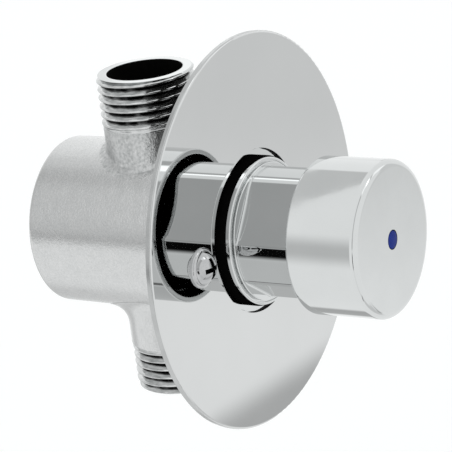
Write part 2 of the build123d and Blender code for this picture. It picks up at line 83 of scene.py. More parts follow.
def rounded(corners: list[tuple[float, float, float]], steps: int = 7, closed: bool = True) -> np.ndarray:
    """Outline whose corners are arcs, worked out for all corners at once.

    Each corner between its neighbours gives the unit directions to them. The arc's tangent points lie
    round / tan(half the corner's angle) along them, and its centre round / sin(half) along their
    bisector. A support point stands just outside each end of an arc, so that shading stays true on the
    straight runs.

    Args:
        corners: the outline's corners, each with the radius of its round; zero leaves it sharp.
        steps: points along each arc.
        closed: whether the last corner joins the first.

    Returns:
        The points of the rounded outline, one row a point.
    """
    support_share = 0.2
    table = np.array(corners, float)
    corner, radii = table[:, :2], table[:, 2]
    to_before = np.roll(corner, 1, axis=0) - corner
    to_after = np.roll(corner, -1, axis=0) - corner
    to_before /= np.linalg.norm(to_before, axis=1, keepdims=True)
    to_after /= np.linalg.norm(to_after, axis=1, keepdims=True)
    half = np.arccos(np.clip((to_before * to_after).sum(1), -1, 1)) / 2
    reach = radii / np.tan(half)
    bisector = to_before + to_after
    bisector /= np.maximum(np.linalg.norm(bisector, axis=1, keepdims=True), TINY)
    centre = corner + bisector * (radii / np.sin(half))[:, None]
    start = corner + to_before * reach[:, None] - centre
    side = np.sign(start[:, 1] * bisector[:, 0] - start[:, 0] * bisector[:, 1])
    angle = (side * (pi - 2 * half))[:, None] * np.linspace(0, 1, steps)[None, :]
    arc_x = centre[:, :1] + start[:, :1] * np.cos(angle) - start[:, 1:] * np.sin(angle)
    arc_y = centre[:, 1:] + start[:, :1] * np.sin(angle) + start[:, 1:] * np.cos(angle)
    arcs = np.stack([arc_x, arc_y], axis=2)
    beyond = (reach + support_share * radii)[:, None]
    first = corner + to_before * beyond
    last = corner + to_after * beyond
    rows = np.concatenate([first[:, None], arcs, last[:, None]], axis=1)
    sharp = radii <= 0
    if not closed:
        sharp[[0, -1]] = True
    keep = np.ones(rows.shape[:2], bool)
    keep[sharp, 1:] = False
    rows[sharp, 0] = corner[sharp]
    return rows[keep]


def resampled(outline: np.ndarray, spacing: float) -> np.ndarray:
    """The outline with points added on its long runs, so that none is longer than the spacing.

    The added points stand at equal steps of the running length, found by linear interpolation, and are
    left out where an old point is near.

    Args:
        outline: points of the outline, one row a point.
        spacing: the longest run wanted.

    Returns:
        The old and the added points in order.
    """
    near_share = 0.4
    step = np.linalg.norm(np.diff(outline, axis=0), axis=1)
    length = np.concatenate([[0], np.cumsum(step)])
    extra = np.arange(spacing, length[-1], spacing)
    clear = np.abs(extra[:, None] - length[None, :]).min(1) > spacing * near_share
    at = np.sort(np.concatenate([length, extra[clear]]))
    return np.stack([np.interp(at, length, outline[:, 0]), np.interp(at, length, outline[:, 1])], axis=1)


def turned_grid(outline: np.ndarray, columns: int) -> np.ndarray:
    """Surface of revolution about the push axis: x = r cos a and z = r sin a at each outline point (r, y).

    Args:
        outline: points (radius, y), one row a point.
        columns: steps round the axis.

    Returns:
        Points by row, column and coordinate.
    """
    angle = np.linspace(0, FULL_TURN, columns, endpoint=False)
    radius = outline[:, :1]
    along = np.repeat(outline[:, 1:], columns, axis=1)
    return np.stack([radius * np.cos(angle), along, radius * np.sin(angle)], axis=2)


def grid_faces(rows: int, columns: int, wrap_rows: bool) -> np.ndarray:
    """Quads of a grid whose columns join up.

    Args:
        rows: rows of points.
        columns: points in a row.
        wrap_rows: whether the last row joins the first.

    Returns:
        Corner numbers, one row a quad.
    """
    index = np.arange(rows * columns).reshape(rows, columns)
    if wrap_rows:
        index = np.vstack([index, index[:1]])
    index = np.hstack([index, index[:, :1]])
    corners = (index[:-1, :-1], index[:-1, 1:], index[1:, 1:], index[1:, :-1])
    return np.stack(corners, axis=-1).reshape(-1, 4)


def mesh_of(name: str, points: np.ndarray, quads: np.ndarray) -> bpy.types.Mesh:
    """Mesh of quads, put in as whole arrays.

    Args:
        name: the mesh's name.
        points: points in millimetres, one row a point.
        quads: corner numbers, one row a quad.

    Returns:
        The mesh in metres.
    """
    mesh = bpy.data.meshes.new(name)
    mesh.vertices.add(len(points))
    mesh.vertices.foreach_set("co", (points * MM).astype(np.float32).ravel())
    mesh.loops.add(quads.size)
    mesh.loops.foreach_set("vertex_index", quads.astype(np.int32).ravel())
    mesh.polygons.add(len(quads))
    mesh.polygons.foreach_set("loop_start", np.arange(0, quads.size, 4, dtype=np.int32))
    mesh.update(calc_edges=True)
    return mesh


@contextmanager
def edited(mesh: bpy.types.Mesh) -> Iterator[bmesh.types.BMesh]:
    """Opens a mesh for editing and puts the result back at the end.

    Args:
        mesh: the mesh to edit.

    Returns:
        The mesh in its editable form, for the length of a with block.
    """
    work = bmesh.new()
    work.from_mesh(mesh)
    yield work
    work.to_mesh(mesh)
    work.free()


def smooth(mesh: bpy.types.Mesh, angle: float = SHARP_ANGLE) -> None:
    """Shades a mesh smooth, with a crease wherever two faces meet at more than an angle.

    Args:
        mesh: the mesh to shade.
        angle: the angle in radians.
    """
    mesh.polygons.foreach_set("use_smooth", np.ones(len(mesh.polygons), bool))
    mesh.set_sharp_from_angle(angle=angle)
    mesh.update()


def shell(name: str, grids: list[tuple[np.ndarray, bool]], angle: float = SHARP_ANGLE) -> bpy.types.Mesh:
    """One welded mesh from several grids, with its poles merged and its faces turned outwards.

    Args:
        name: the mesh's name.
        grids: pairs of a grid of points and whether its rows join up.
        angle: edges that turn by more than this stay sharp.

    Returns:
        The mesh, smooth between its sharp edges.
    """
    points, quads, offset = [], [], 0
    for grid, wrap_rows in grids:
        rows, columns, _ = grid.shape
        points.append(grid.reshape(-1, 3))
        quads.append(grid_faces(rows, columns, wrap_rows) + offset)
        offset += rows * columns
    mesh = mesh_of(name, np.concatenate(points), np.concatenate(quads))
    with edited(mesh) as work:
        bmesh.ops.remove_doubles(work, verts=work.verts, dist=WELD)
        bmesh.ops.dissolve_degenerate(work, edges=work.edges, dist=WELD / 2)
        bmesh.ops.recalc_face_normals(work, faces=work.faces)
    smooth(mesh, angle)
    return mesh


def joined(name: str, *meshes: bpy.types.Mesh) -> bpy.types.Mesh:
    """One mesh from several.

    Args:
        name: the new mesh's name.
        *meshes: the meshes to put together.

    Returns:
        The new mesh, shaded smooth.
    """
    work = bmesh.new()
    for mesh in meshes:
        work.from_mesh(mesh)
    whole = bpy.data.meshes.new(name)
    work.to_mesh(whole)
    work.free()
    smooth(whole)
    return whole


def face_rows(mesh: bpy.types.Mesh, kind: str) -> np.ndarray:
    """A vector of every face of a mesh.

    Args:
        mesh: the mesh.
        kind: which vector, such as center, in metres, or normal.

    Returns:
        The vectors, one row a face.
    """
    rows = np.zeros(len(mesh.polygons) * 3, np.float32)
    mesh.polygons.foreach_get(kind, rows)
    return rows.reshape(-1, 3).astype(float)


def face_places(mesh: bpy.types.Mesh) -> tuple[np.ndarray, np.ndarray, np.ndarray]:
    """Where a mesh's faces lie, in millimetres.

    Args:
        mesh: the mesh.

    Returns:
        The faces' centres, one row a face, and their distances from the push axis and the ports' axis.
    """
    centre = face_rows(mesh, "center") / MM
    from_axis = np.hypot(centre[:, 0], centre[:, 2])
    from_port = np.hypot(centre[:, 0], centre[:, 1] - PORT_DEPTH)
    return centre, from_axis, from_port


def drop_faces(mesh: bpy.types.Mesh, chosen: np.ndarray) -> None:
    """Takes faces out of a mesh.

    Args:
        mesh: the mesh.
        chosen: a mask with one value a face.
    """
    with edited(mesh) as work:
        work.faces.ensure_lookup_table()
        doomed = [work.faces[at] for at in np.flatnonzero(chosen)]
        bmesh.ops.delete(work, geom=doomed, context="FACES")


def ripples(points: np.ndarray, wavelength: float, seed: int, waves: int = 36) -> np.ndarray:
    """Smooth random height over space, about -1 to 1: a sum of sine waves with seeded directions.

    The height at p is the sum of sin(k . p + phase) over the waves, divided by the square root of half
    their number and halved, where each k has a length near 2 pi over the wavelength.

    Args:
        points: places in millimetres, one row a point.
        wavelength: the usual length of a wave.
        seed: start of the random draws.
        waves: how many waves are summed.

    Returns:
        The height at each point.
    """
    shortest_share, longest_share = 0.6, 1.5
    rng = np.random.default_rng(seed)
    way = rng.normal(size=(waves, 3))
    way /= np.linalg.norm(way, axis=1, keepdims=True)
    way *= FULL_TURN / wavelength * rng.uniform(shortest_share, longest_share, size=(waves, 1))
    phase = rng.uniform(0, FULL_TURN, waves)
    return np.sin(points @ way.T + phase).sum(-1) / sqrt(waves / 2) / 2


# Shader helpers


class Tree:
    """Adds and wires nodes in one node tree."""

    def __init__(self, tree: bpy.types.NodeTree) -> None:
        """Keeps the tree that the nodes go into."""
        self.tree = tree

    def give(self, socket: bpy.types.NodeSocket, value: object) -> None:
        """Links a socket to the value where that is a socket too, and otherwise stores it.

        Args:
            socket: the input.
            value: an output socket or a plain value.
        """
        if isinstance(value, bpy.types.NodeSocket):
            self.tree.links.new(value, socket)
        else:
            socket.default_value = value

    def add(self, kind: str, settings: dict | None = None, **inputs: object) -> bpy.types.Node:
        """Adds a node.

        Args:
            kind: the node's type name.
            settings: its attributes, such as its operation.
            **inputs: values or output sockets by input name, where underscores stand for spaces, or by
                an underscore and the input's number.

        Returns:
            The new node.
        """
        node = self.tree.nodes.new(kind)
        for key, value in (settings or {}).items():
            setattr(node, key, value)
        for key, value in inputs.items():
            name = key.replace("_", " ").strip()
            self.give(node.inputs[int(name) if name.isdigit() else name], value)
        return node

    def math(self, operation: str, *values: object) -> bpy.types.NodeSocket:
        """Adds a Math node.

        Args:
            operation: its operation.
            *values: its inputs in order, plain or sockets.

        Returns:
            Its output.
        """
        node = self.add("ShaderNodeMath", {"operation": operation})
        for socket, value in zip(node.inputs, values):
            self.give(socket, value)
        return node.outputs[0]

    def span(self, value: bpy.types.NodeSocket, low: object, high: object, start: object = 0.0,
             end: object = 1.0, curve: str = "LINEAR") -> bpy.types.NodeSocket:
        """Carries a value from one range onto another, clamped at both ends.

        Args:
            value: the value.
            low: the first range's start.
            high: the first range's end.
            start: what the first range's start becomes.
            end: what its end becomes.
            curve: how the value runs between them.

        Returns:
            The carried value.
        """
        node = self.add("ShaderNodeMapRange", {"interpolation_type": curve}, Value=value, From_Min=low,
                        From_Max=high, To_Min=start, To_Max=end)
        return node.outputs["Result"]

    def noise(self, place: bpy.types.NodeSocket, scale: object, detail: float = 2.0,
              roughness: float = 0.5) -> bpy.types.NodeSocket:
        """Adds a Noise Texture.

        Args:
            place: the coordinates that it reads.
            scale: its scale.
            detail: its octaves.
            roughness: the share that each octave keeps.

        Returns:
            Its value, about 0 to 1.
        """
        node = self.add("ShaderNodeTexNoise", Vector=place, Scale=scale, Detail=detail, Roughness=roughness)
        return node.outputs[0]

    def mix(self, share: object, first: object, second: object, colour: bool = False) -> bpy.types.NodeSocket:
        """Mixes two numbers or two colours.

        Args:
            share: how much of the second there is, 0 to 1.
            first: the value at 0.
            second: the value at 1.
            colour: whether they are colours.

        Returns:
            The mixed value.
        """
        kind, start, out = ("RGBA", 6, 2) if colour else ("FLOAT", 2, 0)
        node = self.add("ShaderNodeMix", {"data_type": kind})
        for at, value in ((0, share), (start, first), (start + 1, second)):
            self.give(node.inputs[at], value)
        return node.outputs[out]

    def length(self, **parts: bpy.types.NodeSocket) -> bpy.types.NodeSocket:
        """Length of the vector with the given parts, which are named X, Y or Z."""
        vector = self.add("ShaderNodeCombineXYZ", **parts).outputs[0]
        return self.add("ShaderNodeVectorMath", {"operation": "LENGTH"}, _0=vector).outputs["Value"]

    def place(self) -> bpy.types.NodeSocket:
        """The piece's own coordinates, in metres."""
        return self.add("ShaderNodeTexCoord").outputs["Object"]

    def stretched(self, place: bpy.types.NodeSocket, scale: tuple[float, ...]) -> bpy.types.NodeSocket:
        """The coordinates scaled along each axis, so that a pattern is longer where the scale is small."""
        return self.add("ShaderNodeMapping", {"vector_type": "POINT"}, Vector=place, Scale=scale).outputs[0]

    def parts(self, vector: bpy.types.NodeSocket) -> bpy.types.NodeOutputs:
        """The X, Y and Z of a vector."""
        return self.add("ShaderNodeSeparateXYZ", Vector=vector).outputs


def new_group(name: str, inputs: dict[str, float], *outputs: str) -> tuple[Tree, bpy.types.NodeOutputs]:
    """Starts a shader node group whose inputs and outputs are numbers.

    Args:
        name: the group's name.
        inputs: default value by input name.
        *outputs: the outputs' names.

    Returns:
        A helper that holds the group and adds nodes to it, and the group's inputs as sockets in it.
    """
    group = bpy.data.node_groups.new(name, "ShaderNodeTree")
    for key, value in inputs.items():
        socket = group.interface.new_socket(key, in_out="INPUT", socket_type="NodeSocketFloat")
        socket.default_value = value
    for key in outputs:
        group.interface.new_socket(key, in_out="OUTPUT", socket_type="NodeSocketFloat")
    tree = Tree(group)
    return tree, tree.add("NodeGroupInput").outputs


# Shared effects


def handled_group() -> bpy.types.NodeTree:
    """Polished metal that has been wiped and handled: smears in the gloss, faint ripple, hairline marks.

    Roughness is a broad noise carried onto Low to High, with thin stretched streaks added. Height is the
    slow ripple of a polished plating with the streaks cut into it.

    Returns:
        The node group.
    """
    streak_scale, streak_stretch, streak_low, streak_high = 2600.0, (1.0, 0.05, 1.0), 0.58, 0.72
    streak_dulling, streak_height = 0.1, -0.15
    amounts = {"Low": 0.03, "High": 0.09, "Smear Size": 60.0, "Ripple Size": 90.0, "Streaks": 0.2}
    tree, given = new_group("handled_metal", amounts, "Roughness", "Height", "Shade")
    place = tree.place()
    smear = tree.noise(place, given["Smear Size"], 4.0, 0.55)
    thin = tree.span(tree.noise(tree.stretched(place, streak_stretch), streak_scale), streak_low, streak_high)
    ripple = tree.noise(place, given["Ripple Size"], 1.0)
    marked = tree.math("MULTIPLY", thin, given["Streaks"])
    broad = tree.span(smear, 0.3, 0.72, given["Low"], given["High"])
    tree.add(
        "NodeGroupOutput",
        Roughness=tree.math("MULTIPLY_ADD", marked, streak_dulling, broad),
        Height=tree.math("MULTIPLY_ADD", marked, streak_height, ripple),
        Shade=tree.span(smear, *NOISE_SPAN),
    )
    return tree.tree


def cast_group() -> bpy.types.NodeTree:
    """Skin of a sand casting under plating: lumps, sand grain and a few pits, with matching gloss.

    Height adds a fine noise and a little of a coarser one, less rare round pits. Roughness falls on the
    high grain. Shade is darker in pits and brighter on the high grain.

    Returns:
        The node group.
    """
    lump_share, pit_scale, pit_field_scale, widest_pit = 0.3, 260.0, 130.0, 0.16
    pit_height, pit_shade = -0.6, -0.5
    grain_low, grain_high = 0.4, 0.9
    amounts = {"Low": 0.2, "High": 0.34, "Grain Size": 1500.0, "Lump Size": 420.0, "Pits": 1.0}
    tree, given = new_group("cast_skin", amounts, "Roughness", "Height", "Shade")
    place = tree.place()
    lump = tree.noise(place, given["Lump Size"])
    grain = tree.noise(place, given["Grain Size"], 3.0, 0.6)
    pit_cells = tree.add("ShaderNodeTexVoronoi", Vector=place, Scale=pit_scale, Randomness=1.0)
    pit_size = tree.span(tree.noise(place, pit_field_scale, 0.0), 0.55, 0.75, 0.0, widest_pit)
    pit = tree.math("LESS_THAN", pit_cells.outputs["Distance"], pit_size)
    pits = tree.math("MULTIPLY", pit, given["Pits"])
    both = tree.math("MULTIPLY_ADD", lump, lump_share, grain)
    tree.add(
        "NodeGroupOutput",
        Roughness=tree.span(both, grain_low, grain_high, given["High"], given["Low"]),
        Height=tree.math("MULTIPLY_ADD", pits, pit_height, both),
        Shade=tree.math("MULTIPLY_ADD", pits, pit_shade, tree.span(both, grain_low, grain_high)),
    )
    return tree.tree


def speckle_group() -> bpy.types.NodeTree:
    """Fine mottling for plastics, rubber and plain turned metal.

    Shade mixes a fine speck with a broad cloud, roughness follows the cloud, and height is the speck with
    marks that change only along the push axis, as a lathe leaves them.

    Returns:
        The node group.
    """
    cloud_scale, lathe_scale, speck_share, cloud_share = 160.0, 5200.0, 0.4, 0.6
    amounts = {"Low": 0.3, "High": 0.5, "Speck Size": 900.0, "Turning Marks": 0.0}
    tree, given = new_group("fine_speckle", amounts, "Roughness", "Height", "Shade")
    place = tree.place()
    cloud = tree.noise(place, cloud_scale, 3.0, 0.6)
    speck = tree.noise(place, given["Speck Size"])
    lathe = tree.add("ShaderNodeTexNoise", {"noise_dimensions": "1D"}, W=tree.parts(place)["Y"],
                     Scale=lathe_scale, Detail=1.0)
    turning = tree.math("MULTIPLY", lathe.outputs[0], given["Turning Marks"])
    shade = tree.math("MULTIPLY_ADD", speck, speck_share, tree.math("MULTIPLY", cloud, cloud_share))
    tree.add(
        "NodeGroupOutput",
        Roughness=tree.span(cloud, *NOISE_SPAN, given["Low"], given["High"]),
        Height=tree.math("ADD", speck, turning),
        Shade=tree.span(shade, *NOISE_SPAN),
    )
    return tree.tree


def turned_group() -> bpy.types.NodeTree:
    """Cut metal: fine marks that run round a port, much longer round it than along Z.

    Shade and height both mix the marks with a broad cloud, and roughness follows the cloud.

    Returns:
        The node group.
    """
    mark_stretch, cloud_scale, cloud_height = (0.12, 0.12, 1.0), 500.0, 0.4
    amounts = {"Low": 0.05, "High": 0.12, "Mark Size": 2600.0}
    tree, given = new_group("turned_marks", amounts, "Roughness", "Height", "Shade")
    place = tree.place()
    marks = tree.noise(tree.stretched(place, mark_stretch), given["Mark Size"])
    cloud = tree.noise(place, cloud_scale, 3.0)
    shade = tree.math("MULTIPLY_ADD", cloud, 0.5, tree.math("MULTIPLY", marks, 0.5))
    tree.add(
        "NodeGroupOutput",
        Roughness=tree.span(cloud, *NOISE_SPAN, given["Low"], given["High"]),
        Height=tree.math("MULTIPLY_ADD", cloud, cloud_height, marks),
        Shade=tree.span(shade, *NOISE_SPAN),
    )
    return tree.tree


class Grain(Enum):
    """The surface effects that finishes share, each a node group built once."""

    HANDLED = "handled_metal"
    CAST = "cast_skin"
    SPECKLE = "fine_speckle"
    TURNED = "turned_marks"

    def group(self) -> bpy.types.NodeTree:
        """The effect's node group, built on first use."""
        makers = {
            Grain.HANDLED: handled_group,
            Grain.CAST: cast_group,
            Grain.SPECKLE: speckle_group,
            Grain.TURNED: turned_group,
        }
        return bpy.data.node_groups.get(self.value) or makers[self]()


def thread_root_group() -> bpy.types.NodeTree:
    """Mask of a port thread's roots, which get near-black painted shade: 1 close to the port's axis.

    The distance from the axis is shifted a little by a noise, so that the painted shade ends unevenly.

    Returns:
        The node group.
    """
    patch_scale, patch_shift = 350.0, 0.5
    tree, given = new_group("thread_root_zone", {"Deep": 9.34 * MM, "Clear": 9.66 * MM}, "Mask")
    place = tree.place()
    part = tree.parts(place)
    radius = tree.length(X=part["X"], Y=tree.math("SUBTRACT", part["Y"], PORT_DEPTH * MM))
    patchy = tree.math("SUBTRACT", tree.noise(place, patch_scale), 0.5)
    deep = tree.math("MULTIPLY_ADD", patchy, patch_shift * MM, radius)
    tree.add("NodeGroupOutput", Mask=tree.span(deep, given["Deep"], given["Clear"], 1.0, 0.0))
    return tree.tree


def screw_recess_group() -> bpy.types.NodeTree:
    """Mask of the crossed recess, which gets near-black painted shade: 1 where a point lies deeper than the
    head's dome would.

    The dome is a ball of radius R whose top is at Top, so it lies at Top + R - sqrt(R^2 - r^2) for a
    distance r from the screw's axis.

    Returns:
        The node group.
    """
    shallow, full = 0.1, 0.35
    tree, given = new_group("screw_recess_zone", {"Top": SCREW_TOP * MM, "Dome": SCREW_DOME * MM}, "Mask")
    part = tree.parts(tree.place())
    across = tree.math("SUBTRACT", tree.math("ABSOLUTE", part["X"]), SCREW_FROM_AXIS * MM)
    radius = tree.length(X=across, Z=part["Z"])
    under = tree.math("SUBTRACT", tree.math("POWER", given["Dome"], 2.0), tree.math("POWER", radius, 2.0))
    dome = tree.math("SUBTRACT", tree.math("ADD", given["Top"], given["Dome"]), tree.math("SQRT", under))
    deep = tree.span(tree.math("SUBTRACT", part["Y"], dome), shallow * MM, full * MM)
    within = tree.math("LESS_THAN", radius, SCREW_RECESS_RADIUS * MM)
    tree.add("NodeGroupOutput", Mask=tree.math("MULTIPLY", deep, within))
    return tree.tree


def dot_pocket_group() -> bpy.types.NodeTree:
    """Mask of the pocket round the coloured dot, which gets near-black painted shade: 1 close to the push
    axis, just behind the cap's face.

    Returns:
        The node group.
    """
    under_face, pocket_depth, pocket_reach = 0.03, 1.5, 2.3
    amounts = {"Face": (CAP_FACE + under_face) * MM, "Edge": pocket_reach * MM}
    tree, given = new_group("dot_pocket_zone", amounts, "Mask")
    part = tree.parts(tree.place())
    near = tree.math("LESS_THAN", tree.length(X=part["X"], Z=part["Z"]), given["Edge"])
    ahead = tree.math("LESS_THAN", part["Y"], (CAP_FACE + pocket_depth) * MM)
    deep = tree.math("MULTIPLY", tree.math("GREATER_THAN", part["Y"], given["Face"]), ahead)
    tree.add("NodeGroupOutput", Mask=tree.math("MULTIPLY", near, deep))
    return tree.tree


class Zone(Enum):
    """Places on a piece that get painted shade, a dark second tone, each a mask group built once."""

    THREAD_ROOT = "thread_root_zone"
    SCREW_RECESS = "screw_recess_zone"
    DOT_POCKET = "dot_pocket_zone"

    def group(self) -> bpy.types.NodeTree:
        """The zone's mask group, built on first use."""
        makers = {
            Zone.THREAD_ROOT: thread_root_group,
            Zone.SCREW_RECESS: screw_recess_group,
            Zone.DOT_POCKET: dot_pocket_group,
        }
        return bpy.data.node_groups.get(self.value) or makers[self]()


# Finishes


@dataclass(frozen=True)
class Finish:
    """A finish: two colours that a shared effect mixes, its gloss and the depth of its relief.

    Attributes:
        name: the material's name.
        low: linear colour where the effect's shade is 0.
        high: linear colour where it is 1.
        grain: the shared effect.
        amounts: values for the effect's inputs, by name.
        metallic: the shader's metallic value.
        bump: the relief's depth in metres.
        specular: the shader's specular level, which metals leave at its usual value.
        zone: places that get painted shade, a tone of their own.
        painted_shade_colour: linear colour of the painted shade in those places.
        zone_roughness: roughness in those places.
    """

    name: str
    low: tuple[float, float, float]
    high: tuple[float, float, float]
    grain: Grain
    amounts: tuple[tuple[str, float], ...] = ()
    metallic: float = 0.0
    bump: float = 0.0
    specular: float = 0.5
    zone: Zone | None = None
    painted_shade_colour: tuple[float, float, float] = (0.01, 0.01, 0.01)
    zone_roughness: float = 0.5

    def material(self) -> bpy.types.Material:
        """The finish's material, built on first use."""
        return bpy.data.materials.get(self.name) or self.new_material()

    def new_material(self) -> bpy.types.Material:
        """Builds the material: the effect mixes the colours, and a zone's painted shade goes over them.

        Returns:
            The new material.
        """
        made = bpy.data.materials.new(self.name)
        made.use_nodes = True
        made.node_tree.nodes.clear()
        tree = Tree(made.node_tree)
        effect = tree.add("ShaderNodeGroup", {"node_tree": self.grain.group()})
        for key, value in self.amounts:
            effect.inputs[key].default_value = value
        tone = tree.mix(effect.outputs["Shade"], (*self.low, 1.0), (*self.high, 1.0), colour=True)
        rough = effect.outputs["Roughness"]
        # A zone's painted shade goes over the finish's own colours.
        if self.zone:
            mask = tree.add("ShaderNodeGroup", {"node_tree": self.zone.group()}).outputs["Mask"]
            tone = tree.mix(mask, tone, (*self.painted_shade_colour, 1.0), colour=True)
            rough = tree.mix(mask, rough, self.zone_roughness)
        relief = tree.add("ShaderNodeBump", Height=effect.outputs["Height"], Distance=self.bump, Strength=1.0)
        shader = tree.add(
            "ShaderNodeBsdfPrincipled", Base_Color=tone, Roughness=rough, Metallic=self.metallic,
            Specular_IOR_Level=self.specular, Normal=relief.outputs[0],
        )
        tree.add("ShaderNodeOutputMaterial", Surface=shader.outputs[0])
        return made


MIRROR = Finish(
    "mirror_chrome_plate", (0.665, 0.67, 0.67), (0.685, 0.69, 0.69), Grain.HANDLED,
    (("Low", 0.012), ("High", 0.035), ("Smear Size", 40.0), ("Ripple Size", 60.0), ("Streaks", 0.1)),
    metallic=METAL, bump=1.5e-6,
)
PLATE_RIM = Finish(
    "sheared_plate_rim", (0.46, 0.465, 0.465), (0.56, 0.565, 0.565), Grain.HANDLED,
    (("Low", 0.08), ("High", 0.16), ("Smear Size", 200.0), ("Ripple Size", 400.0), ("Streaks", 0.3)),
    metallic=METAL, bump=4e-6,
)
# Painted shade: a dark copy of the plate's metal for its back, which faces away from the light.
PLATE_BACK_SHADE = Finish(
    "plate_back_painted_shade", (0.028, 0.028, 0.027), (0.045, 0.045, 0.043), Grain.SPECKLE,
    (("Low", 0.35), ("High", 0.5)), metallic=METAL, bump=3e-6,
)
# The gap in the button's pocket round the blue dot gets near-black painted shade.
POLISHED = Finish(
    "polished_chrome", (0.66, 0.67, 0.67), (0.69, 0.70, 0.70), Grain.HANDLED,
    (("Low", 0.02), ("High", 0.06), ("Smear Size", 90.0), ("Ripple Size", 170.0), ("Streaks", 0.1)),
    metallic=METAL, bump=4e-6, zone=Zone.DOT_POCKET, painted_shade_colour=(0.004, 0.004, 0.008), zone_roughness=0.6,
)
SATIN_CAST = Finish(
    "plated_casting", (0.60, 0.605, 0.605), (0.70, 0.70, 0.70), Grain.CAST,
    (("Low", 0.11), ("High", 0.2), ("Grain Size", 2300.0)), metallic=METAL, bump=3.6e-5,
)
ROUGH_CAST = Finish(
    "plated_rough_casting", (0.42, 0.43, 0.43), (0.70, 0.70, 0.70), Grain.CAST,
    (("Low", 0.26), ("High", 0.42), ("Grain Size", 1500.0), ("Lump Size", 700.0)),
    metallic=METAL, bump=1.1e-4,
)
# Painted shade: near-black metal for the waterways, the port bores and the wall of the plate's hole, where
# little light reaches.
BORE_SHADE = Finish(
    "waterway_painted_shade", (0.004, 0.004, 0.004), (0.012, 0.011, 0.010), Grain.SPECKLE,
    (("Low", 0.5), ("High", 0.7)), metallic=METAL, bump=8e-6,
)
# The thread's roots get near-black painted shade through the thread-root zone.
THREAD_CHROME = Finish(
    "cut_thread_chrome", (0.42, 0.43, 0.43), (0.78, 0.78, 0.78), Grain.TURNED,
    (("Low", 0.05), ("High", 0.14), ("Mark Size", 3200.0)), metallic=METAL, bump=5e-5,
    zone=Zone.THREAD_ROOT, painted_shade_colour=(0.002, 0.002, 0.002), zone_roughness=0.6,
)
# The screws' crossed recesses get painted shade in the zone's near-black default colour.
SCREW_CHROME = Finish(
    "screw_chrome", (0.42, 0.425, 0.43), (0.56, 0.56, 0.565), Grain.HANDLED,
    (("Low", 0.05), ("High", 0.12), ("Smear Size", 400.0), ("Ripple Size", 500.0), ("Streaks", 0.0)),
    metallic=METAL, bump=2.5e-5, zone=Zone.SCREW_RECESS,
)
RUBBER = Finish(
    "moulded_rubber", (0.0012, 0.0012, 0.0012), (0.004, 0.004, 0.004), Grain.SPECKLE,
    (("Low", 0.5), ("High", 0.7), ("Speck Size", 2200.0)), bump=1e-5, specular=0.0,
)
ACETAL = Finish(
    "white_acetal", (0.72, 0.72, 0.68), (0.82, 0.82, 0.78), Grain.SPECKLE,
    (("Low", 0.35), ("High", 0.5), ("Turning Marks", 0.3)), bump=5e-6,
)
SPRING = Finish(
    "drawn_spring_steel", (0.36, 0.36, 0.37), (0.52, 0.52, 0.53), Grain.SPECKLE,
    (("Low", 0.22), ("High", 0.36), ("Speck Size", 1600.0)), metallic=METAL, bump=6e-6,
)
BRASS = Finish(
    "turned_brass", (0.52, 0.36, 0.12), (0.68, 0.50, 0.20), Grain.SPECKLE,
    (("Low", 0.2), ("High", 0.34), ("Turning Marks", 0.6)), metallic=METAL, bump=6e-6,
)
STAINLESS = Finish(
    "turned_stainless", (0.46, 0.46, 0.46), (0.60, 0.60, 0.60), Grain.SPECKLE,
    (("Low", 0.14), ("High", 0.26), ("Turning Marks", 0.5)), metallic=METAL, bump=4e-6,
)
BLUE = Finish(
    "blue_enamel", (0.010, 0.018, 0.12), (0.024, 0.045, 0.27), Grain.SPECKLE,
    (("Low", 0.25), ("High", 0.4), ("Speck Size", 2600.0)), bump=4e-6, specular=0.03,
)


def add_piece(mesh: bpy.types.Mesh, body: str, finish: Finish, slot: str, *nodes: str) -> bpy.types.Object:
    """Puts a finished mesh into the scene as a piece that rides on a body.

    Args:
        mesh: the mesh, in the frame of the CAD.
        body: the CAD body that it moves with.
        finish: its finish.
        slot: the record's material slot that it stands for; not used.
        *nodes: the CAD nodes that it takes the place of.

    Returns:
        The new object.
    """
    piece = bpy.data.objects.new(mesh.name, mesh)
    bpy.context.scene.collection.objects.link(piece)
    mesh.materials.clear()
    mesh.materials.append(finish.material())
    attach(piece, body)
    if nodes:
        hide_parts(*nodes)
    LOG.info("piece %s rides on %s, %d faces", piece.name, body, len(mesh.polygons))
    return piece


def second_finish(piece: bpy.types.Object, finish: Finish, chosen: np.ndarray) -> None:
    """Gives some faces of a piece a finish of their own.

    Args:
        piece: the piece.
        finish: the further finish.
        chosen: a mask with one value a face.
    """
    mesh = piece.data
    mesh.materials.append(finish.material())
    slots = np.zeros(len(mesh.polygons), np.int32)
    mesh.polygons.foreach_get("material_index", slots)
    slots[chosen] = len(mesh.materials) - 1
    mesh.polygons.foreach_set("material_index", slots)
    mesh.update()


def clean_copy(node: str, name: str) -> bpy.types.Mesh:
    """A copy of a CAD node's mesh without its stored normals, merged by distance and shaded smooth.

    Args:
        node: the CAD node.
        name: the copy's name.

    Returns:
        The copy.
    """
    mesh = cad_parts[node].data.copy()
    mesh.name = name
    stored = mesh.attributes.get("custom_normal")
    if stored:
        mesh.attributes.remove(stored)
    with edited(mesh) as work:
        bmesh.ops.remove_doubles(work, verts=work.verts, dist=WELD)
    smooth(mesh)
    return mesh


def crease_flats(mesh: bpy.types.Mesh) -> None:
    """Makes sharp the edges between faces square to the push axis and the rounds beside them.

    Args:
        mesh: the mesh to crease.
    """
    square_limit = 0.99999
    with edited(mesh) as work:
        for edge in work.edges:
            square = {abs(face.normal.y) > square_limit for face in edge.link_faces}
            if len(square) == 2:
                edge.smooth = False
    mesh.update()


def weigh_normals(piece: bpy.types.Object) -> None:
    """Keeps flat faces flat next to rounds: corner normals follow the larger faces.

    Args:
        piece: the piece that gets the modifier.
    """
    weigh = piece.modifiers.new("face_weight", "WEIGHTED_NORMAL")
    weigh.keep_sharp = True
    weigh.weight = 100


